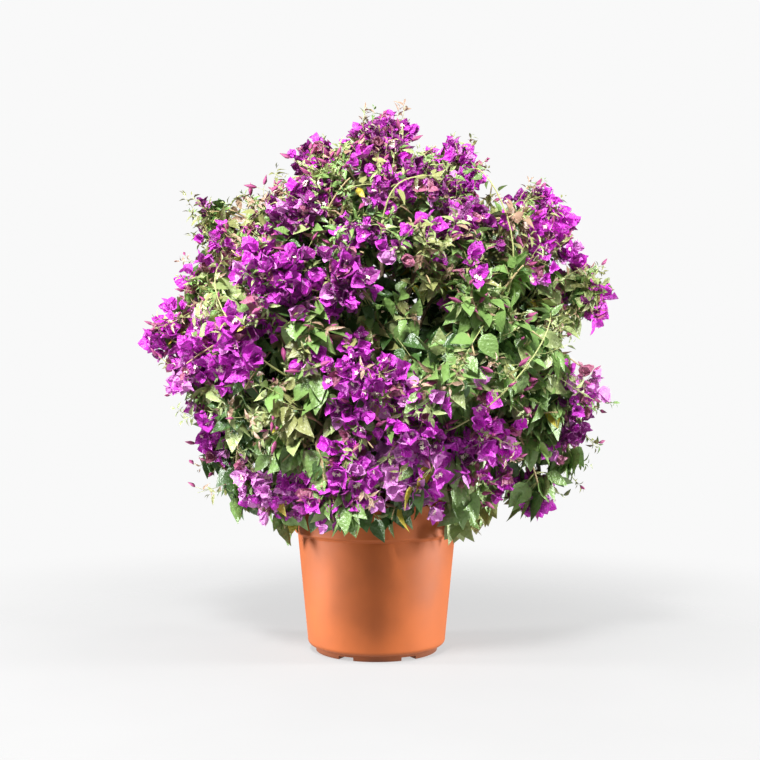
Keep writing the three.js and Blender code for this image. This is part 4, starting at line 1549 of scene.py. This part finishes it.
def model_compost(pot):
    """A fill on the pot's floor whose top is broken up into crumbs."""
    inner = pot.wall + FIT
    low = pot.foot_height + POT_FLOOR
    widening = pot.rim_radius - pot.collar_radius - INNER_TAPER
    slope = widening / (pot.height - pot.collar_low)
    top_radius = pot.collar_radius - inner + slope * (SOIL_TOP - pot.collar_low) - FIT
    profile = [
        (pot.low_radius - inner - FLOOR_EDGE, low),
        (pot.low_radius - inner, low + FLOOR_EDGE),
        (pot.high_radius - inner, pot.collar_low),
        (pot.collar_radius - inner, pot.collar_low + COLLAR_INSIDE + FIT),
        (top_radius, SOIL_TOP - CRUMBS[1]),
    ]
    fill = start_disc(COMPOST_SEGMENTS, *profile[0])
    raise_rings(profile)
    for _ in range(COMPOST_RINGS):
        bpy.ops.mesh.inset(thickness=top_radius / (COMPOST_RINGS + 1.5), depth=0.0)
    bpy.ops.mesh.poke()
    leave_edit()
    fill.name = fill.data.name = "compost_fill"
    rng = stream("crumbs")
    for vertex in fill.data.vertices:
        radius = math.hypot(vertex.co.x, vertex.co.y)
        if vertex.co.z > SOIL_TOP + CRUMBS[0] and radius < top_radius - EVEN_RIM:
            vertex.co.z += rng.uniform(*CRUMBS)
    finer = fill.modifiers.new("finer", "SUBSURF")
    finer.subdivision_type = "SIMPLE"
    finer.levels = finer.render_levels = 1
    bpy.context.view_layer.objects.active = fill
    bpy.ops.object.modifier_apply(modifier=finer.name)
    fill.data.materials.append(compost(pot.soil))
    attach(fill, BODY)
    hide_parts("compost")


class Bush:
    """The grown bush, made once and read by several operators."""

    grown = None


def grown_bush(scene):
    if Bush.grown is None:
        Bush.grown = grow_bush(scene.bush_crown)
    return Bush.grown


class BUSH_OT_pot(bpy.types.Operator):
    """Models the terracotta plastic pot with its collar, foot and drain notches"""

    bl_idname = "bush.pot"
    bl_label = "Pot"

    def execute(self, context):
        model_pot(context.scene.bush_pot)
        return {"FINISHED"}


class BUSH_OT_compost(bpy.types.Operator):
    """Fills the pot with crumbly compost"""

    bl_idname = "bush.compost"
    bl_label = "Compost"

    def execute(self, context):
        model_compost(context.scene.bush_pot)
        return {"FINISHED"}


class BUSH_OT_limbs(bpy.types.Operator):
    """Makes the trunk and boughs with the relief of their bark"""

    bl_idname = "bush.limbs"
    bl_label = "Trunk and boughs"

    def execute(self, context):
        rng = stream("bark")
        material = bark(context.scene.bush_tints.bark)
        foot, middle, tip = trunk_controls()
        path = [foot + UP * FOOT_DEPTH, middle, tip]
        shares = np.linspace(0, 1, TRUNK_RINGS)
        rise = bezier(path, shares)[:, 2] - SOIL_TOP
        radii = between(TRUNK_RADIUS, shares) + ROOT_FLARE * np.exp(-rise / ROOT_FLARE_HEIGHT)
        vertices, triangles = bark_tube(path, radii, TRUNK_SIDES, rng)
        vertices[:, 2] = np.maximum(vertices[:, 2], SOIL_TOP)
        trunk = new_piece("bark_trunk", vertices, triangles, material)
        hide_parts("trunk")
        shares = np.linspace(0, 1, BOUGH_RINGS)
        parts = []
        for mass in MASSES:
            radii = between(mass["radius"], shares)
            parts.append(bark_tube(mass["bough"], radii, BOUGH_SIDES, rng))
        boughs = new_piece("bark_boughs", *join_parts(parts), material)
        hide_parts(*BOUGH_NODES)
        return {"FINISHED"}


class BUSH_OT_twigs(bpy.types.Operator):
    """Makes the stems, twigs and green shoots of every mass of foliage"""

    bl_idname = "bush.twigs"
    bl_label = "Twigs and shoots"

    def execute(self, context):
        bush = grown_bush(context.scene)
        tints = context.scene.bush_tints
        woody = stalk_material("twig_bark", tints.twig, 0.75)
        twigs = new_piece("woody_twigs", *stalk_mesh(bush["twigs"], sides=6), woody)
        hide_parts(*MASS_NODES)
        green = stalk_material("green_shoots", tints.shoot, 0.5)
        shoots = new_piece("green_shoots", *stalk_mesh(bush["shoots"], sides=3), green)
        canes = new_piece("long_canes", *stalk_mesh(bush["canes"], sides=8), green)
        stalks = new_piece("leaf_and_flower_stalks", *stalk_mesh(bush["stalks"], sides=3), green)
        return {"FINISHED"}


class BUSH_OT_leaves(bpy.types.Operator):
    """Makes the leaves, one joined piece for each tint"""

    bl_idname = "bush.leaves"
    bl_label = "Leaves"

    def execute(self, context):
        bush = grown_bush(context.scene)
        rng = stream("leaf_edges")
        for number, name in enumerate(LEAF_TINTS):
            tone = getattr(context.scene.bush_tints, name)
            material = blade_material(
                name, tone, roughness=0.34, sheen=0.0, veins=7, relief=0.08, crumple=3.2
            )
            grown = blade_mesh(*bush["leaves"].of_tint(number), LEAF_OUTLINE, rng)
            young = blade_mesh(*bush["young"].of_tint(number), YOUNG_OUTLINE, rng)
            vertices, triangles, uv = join_parts([grown, young])
            piece = new_piece(name.replace("leaf", "leaves"), vertices, triangles, material, uv=uv)
        return {"FINISHED"}


class BUSH_OT_bracts(bpy.types.Operator):
    """Makes the papery bracts, one joined piece for each tint"""

    bl_idname = "bush.bracts"
    bl_label = "Bracts"

    def execute(self, context):
        bracts = grown_bush(context.scene)["bracts"]
        rng = stream("bract_edges")
        for number, name in enumerate(BRACT_TINTS):
            tone = getattr(context.scene.bush_tints, name)
            material = blade_material(
                name, tone, roughness=0.42, sheen=0.3, veins=5, relief=0.22, crumple=6.0
            )
            vertices, triangles, uv = blade_mesh(*bracts.of_tint(number), BRACT_OUTLINE, rng)
            piece = new_piece(
                name.replace("bract", "bracts"), vertices, triangles, material, smooth=False, uv=uv
            )
        return {"FINISHED"}


class BUSH_OT_flowers(bpy.types.Operator):
    """Makes the cream flowers inside the bracts and the closed buds"""

    bl_idname = "bush.flowers"
    bl_label = "Flowers and buds"

    def execute(self, context):
        bush = grown_bush(context.scene)
        tints = context.scene.bush_tints
        cream = stalk_material("cream_flower", tints.flower, 0.6)
        stars = flower_mesh(bush["flowers"], stream("stars"))
        flowers = new_piece("cream_flowers", *stars, cream)
        dusky = stalk_material("dusky_bud", tints.bud, 0.6)
        buds = new_piece("closed_buds", *bud_mesh(bush["buds"]), dusky)
        return {"FINISHED"}


# Stage

FRAME_SIDE = 760  # pixels of the photograph
FOCAL_PIXELS = 1200
SENSOR = 36.0
CAMERA_PLACE = (0.0065, -2.244, 0.501)
FLOOR_HALF = 2.0
FLOOR_DROP = 0.0002  # the floor lies this far under the pot's foot
FLOOR_TONES = ((0.15, 0.15, 0.15), (0.16, 0.16, 0.16))
FLOOR_FADE = (0.35, 1.5)  # the floor thins out between these distances
FLOOR_GLOW = 0.53
WORLD_SEEN = 0.947
WORLD_LIGHT = 0.28
# Azimuth, elevation, distance, width, height and power of each soft light
LIGHTS = (
    (-86, 5, 2.2, 0.45, 1.1, 76),
    (85, 5, 2.2, 0.45, 1.1, 78),
    (-16, 44, 2.4, 0.4, 0.4, 108),
)
AIM_DROP = 0.1  # the lights aim so far under the crown's centre


def add_camera():
    data = bpy.data.cameras.new("camera")
    data.sensor_width = SENSOR
    data.lens = SENSOR * FOCAL_PIXELS / FRAME_SIDE
    camera = bpy.data.objects.new("camera", data)
    camera.location = CAMERA_PLACE
    camera.rotation_euler = (math.radians(90), 0, 0)
    bpy.context.scene.collection.objects.link(camera)
    bpy.context.scene.camera = camera


def add_light(name, azimuth, elevation, distance, width, height, power):
    data = bpy.data.lights.new(name, "AREA")
    data.shape = "RECTANGLE"
    data.size = width
    data.size_y = height
    data.energy = power
    light = bpy.data.objects.new(name, data)
    aim = Vector(CROWN_CENTRE) - Vector((0, 0, AIM_DROP))
    back = Vector(heading(azimuth, elevation))
    light.location = aim + back * distance
    light.rotation_euler = (-back).to_track_quat("-Z", "Y").to_euler()
    bpy.context.scene.collection.objects.link(light)


def add_world():
    """White to the eye but dimmer as a source of light, so that the shade in the crown is deep."""
    world = bpy.data.worlds.new("studio")
    world.use_nodes = True
    nodes = world.node_tree.nodes
    links = world.node_tree.links
    path = nodes.new("ShaderNodeLightPath")
    mix = nodes.new("ShaderNodeMapRange")
    mix.inputs["To Min"].default_value = WORLD_LIGHT
    mix.inputs["To Max"].default_value = WORLD_SEEN
    links.new(path.outputs["Is Camera Ray"], mix.inputs["Value"])
    links.new(mix.outputs["Result"], nodes["Background"].inputs["Strength"])
    nodes["Background"].inputs["Color"].default_value = (1, 1, 1, 1)
    bpy.context.scene.world = world


class BUSH_OT_stage(bpy.types.Operator):
    """Sets the pale floor, the soft lights and the camera"""

    bl_idname = "bush.stage"
    bl_label = "Stage"

    def execute(self, context):
        deselect_all()
        bpy.ops.mesh.primitive_plane_add(size=2 * FLOOR_HALF, location=(0, 0, -FLOOR_DROP))
        floor = active()
        floor.name = "pale_floor"
        floor.data.materials.append(plain_floor())
        add_world()
        for number, light in enumerate(LIGHTS):
            add_light(f"soft_light_{number + 1}", *light)
        add_camera()
        context.scene.view_settings.view_transform = "Standard"
        return {"FINISHED"}


STEPS = (
    BUSH_OT_pot,
    BUSH_OT_compost,
    BUSH_OT_limbs,
    BUSH_OT_twigs,
    BUSH_OT_leaves,
    BUSH_OT_bracts,
    BUSH_OT_flowers,
    BUSH_OT_stage,
)


class BUSH_PT_panel(bpy.types.Panel):
    """Lists the steps that dress the bush"""

    bl_idname = "BUSH_PT_panel"
    bl_label = "Bougainvillea bush"
    bl_space_type = "VIEW_3D"
    bl_region_type = "UI"
    bl_category = "Bush"

    def draw(self, context):
        for group in (context.scene.bush_pot, context.scene.bush_crown, context.scene.bush_tints):
            box = self.layout.box()
            for name in group.__annotations__:
                box.prop(group, name)
        for step in STEPS:
            self.layout.operator(step.bl_idname)


CLASSES = (PotSizes, CrownSizes, Tints, *STEPS, BUSH_PT_panel)


def register():
    for cls in CLASSES:
        bpy.utils.register_class(cls)
    bpy.types.Scene.bush_pot = PointerProperty(type=PotSizes)
    bpy.types.Scene.bush_crown = PointerProperty(type=CrownSizes)
    bpy.types.Scene.bush_tints = PointerProperty(type=Tints)


def unregister():
    del bpy.types.Scene.bush_tints
    del bpy.types.Scene.bush_crown
    del bpy.types.Scene.bush_pot
    for cls in reversed(CLASSES):
        bpy.utils.unregister_class(cls)


def main():
    register()
    bpy.ops.bush.pot()
    bpy.ops.bush.compost()
    bpy.ops.bush.limbs()
    bpy.ops.bush.twigs()
    bpy.ops.bush.leaves()
    bpy.ops.bush.bracts()
    bpy.ops.bush.flowers()
    bpy.ops.bush.stage()


if __name__ == "__main__":
    main()
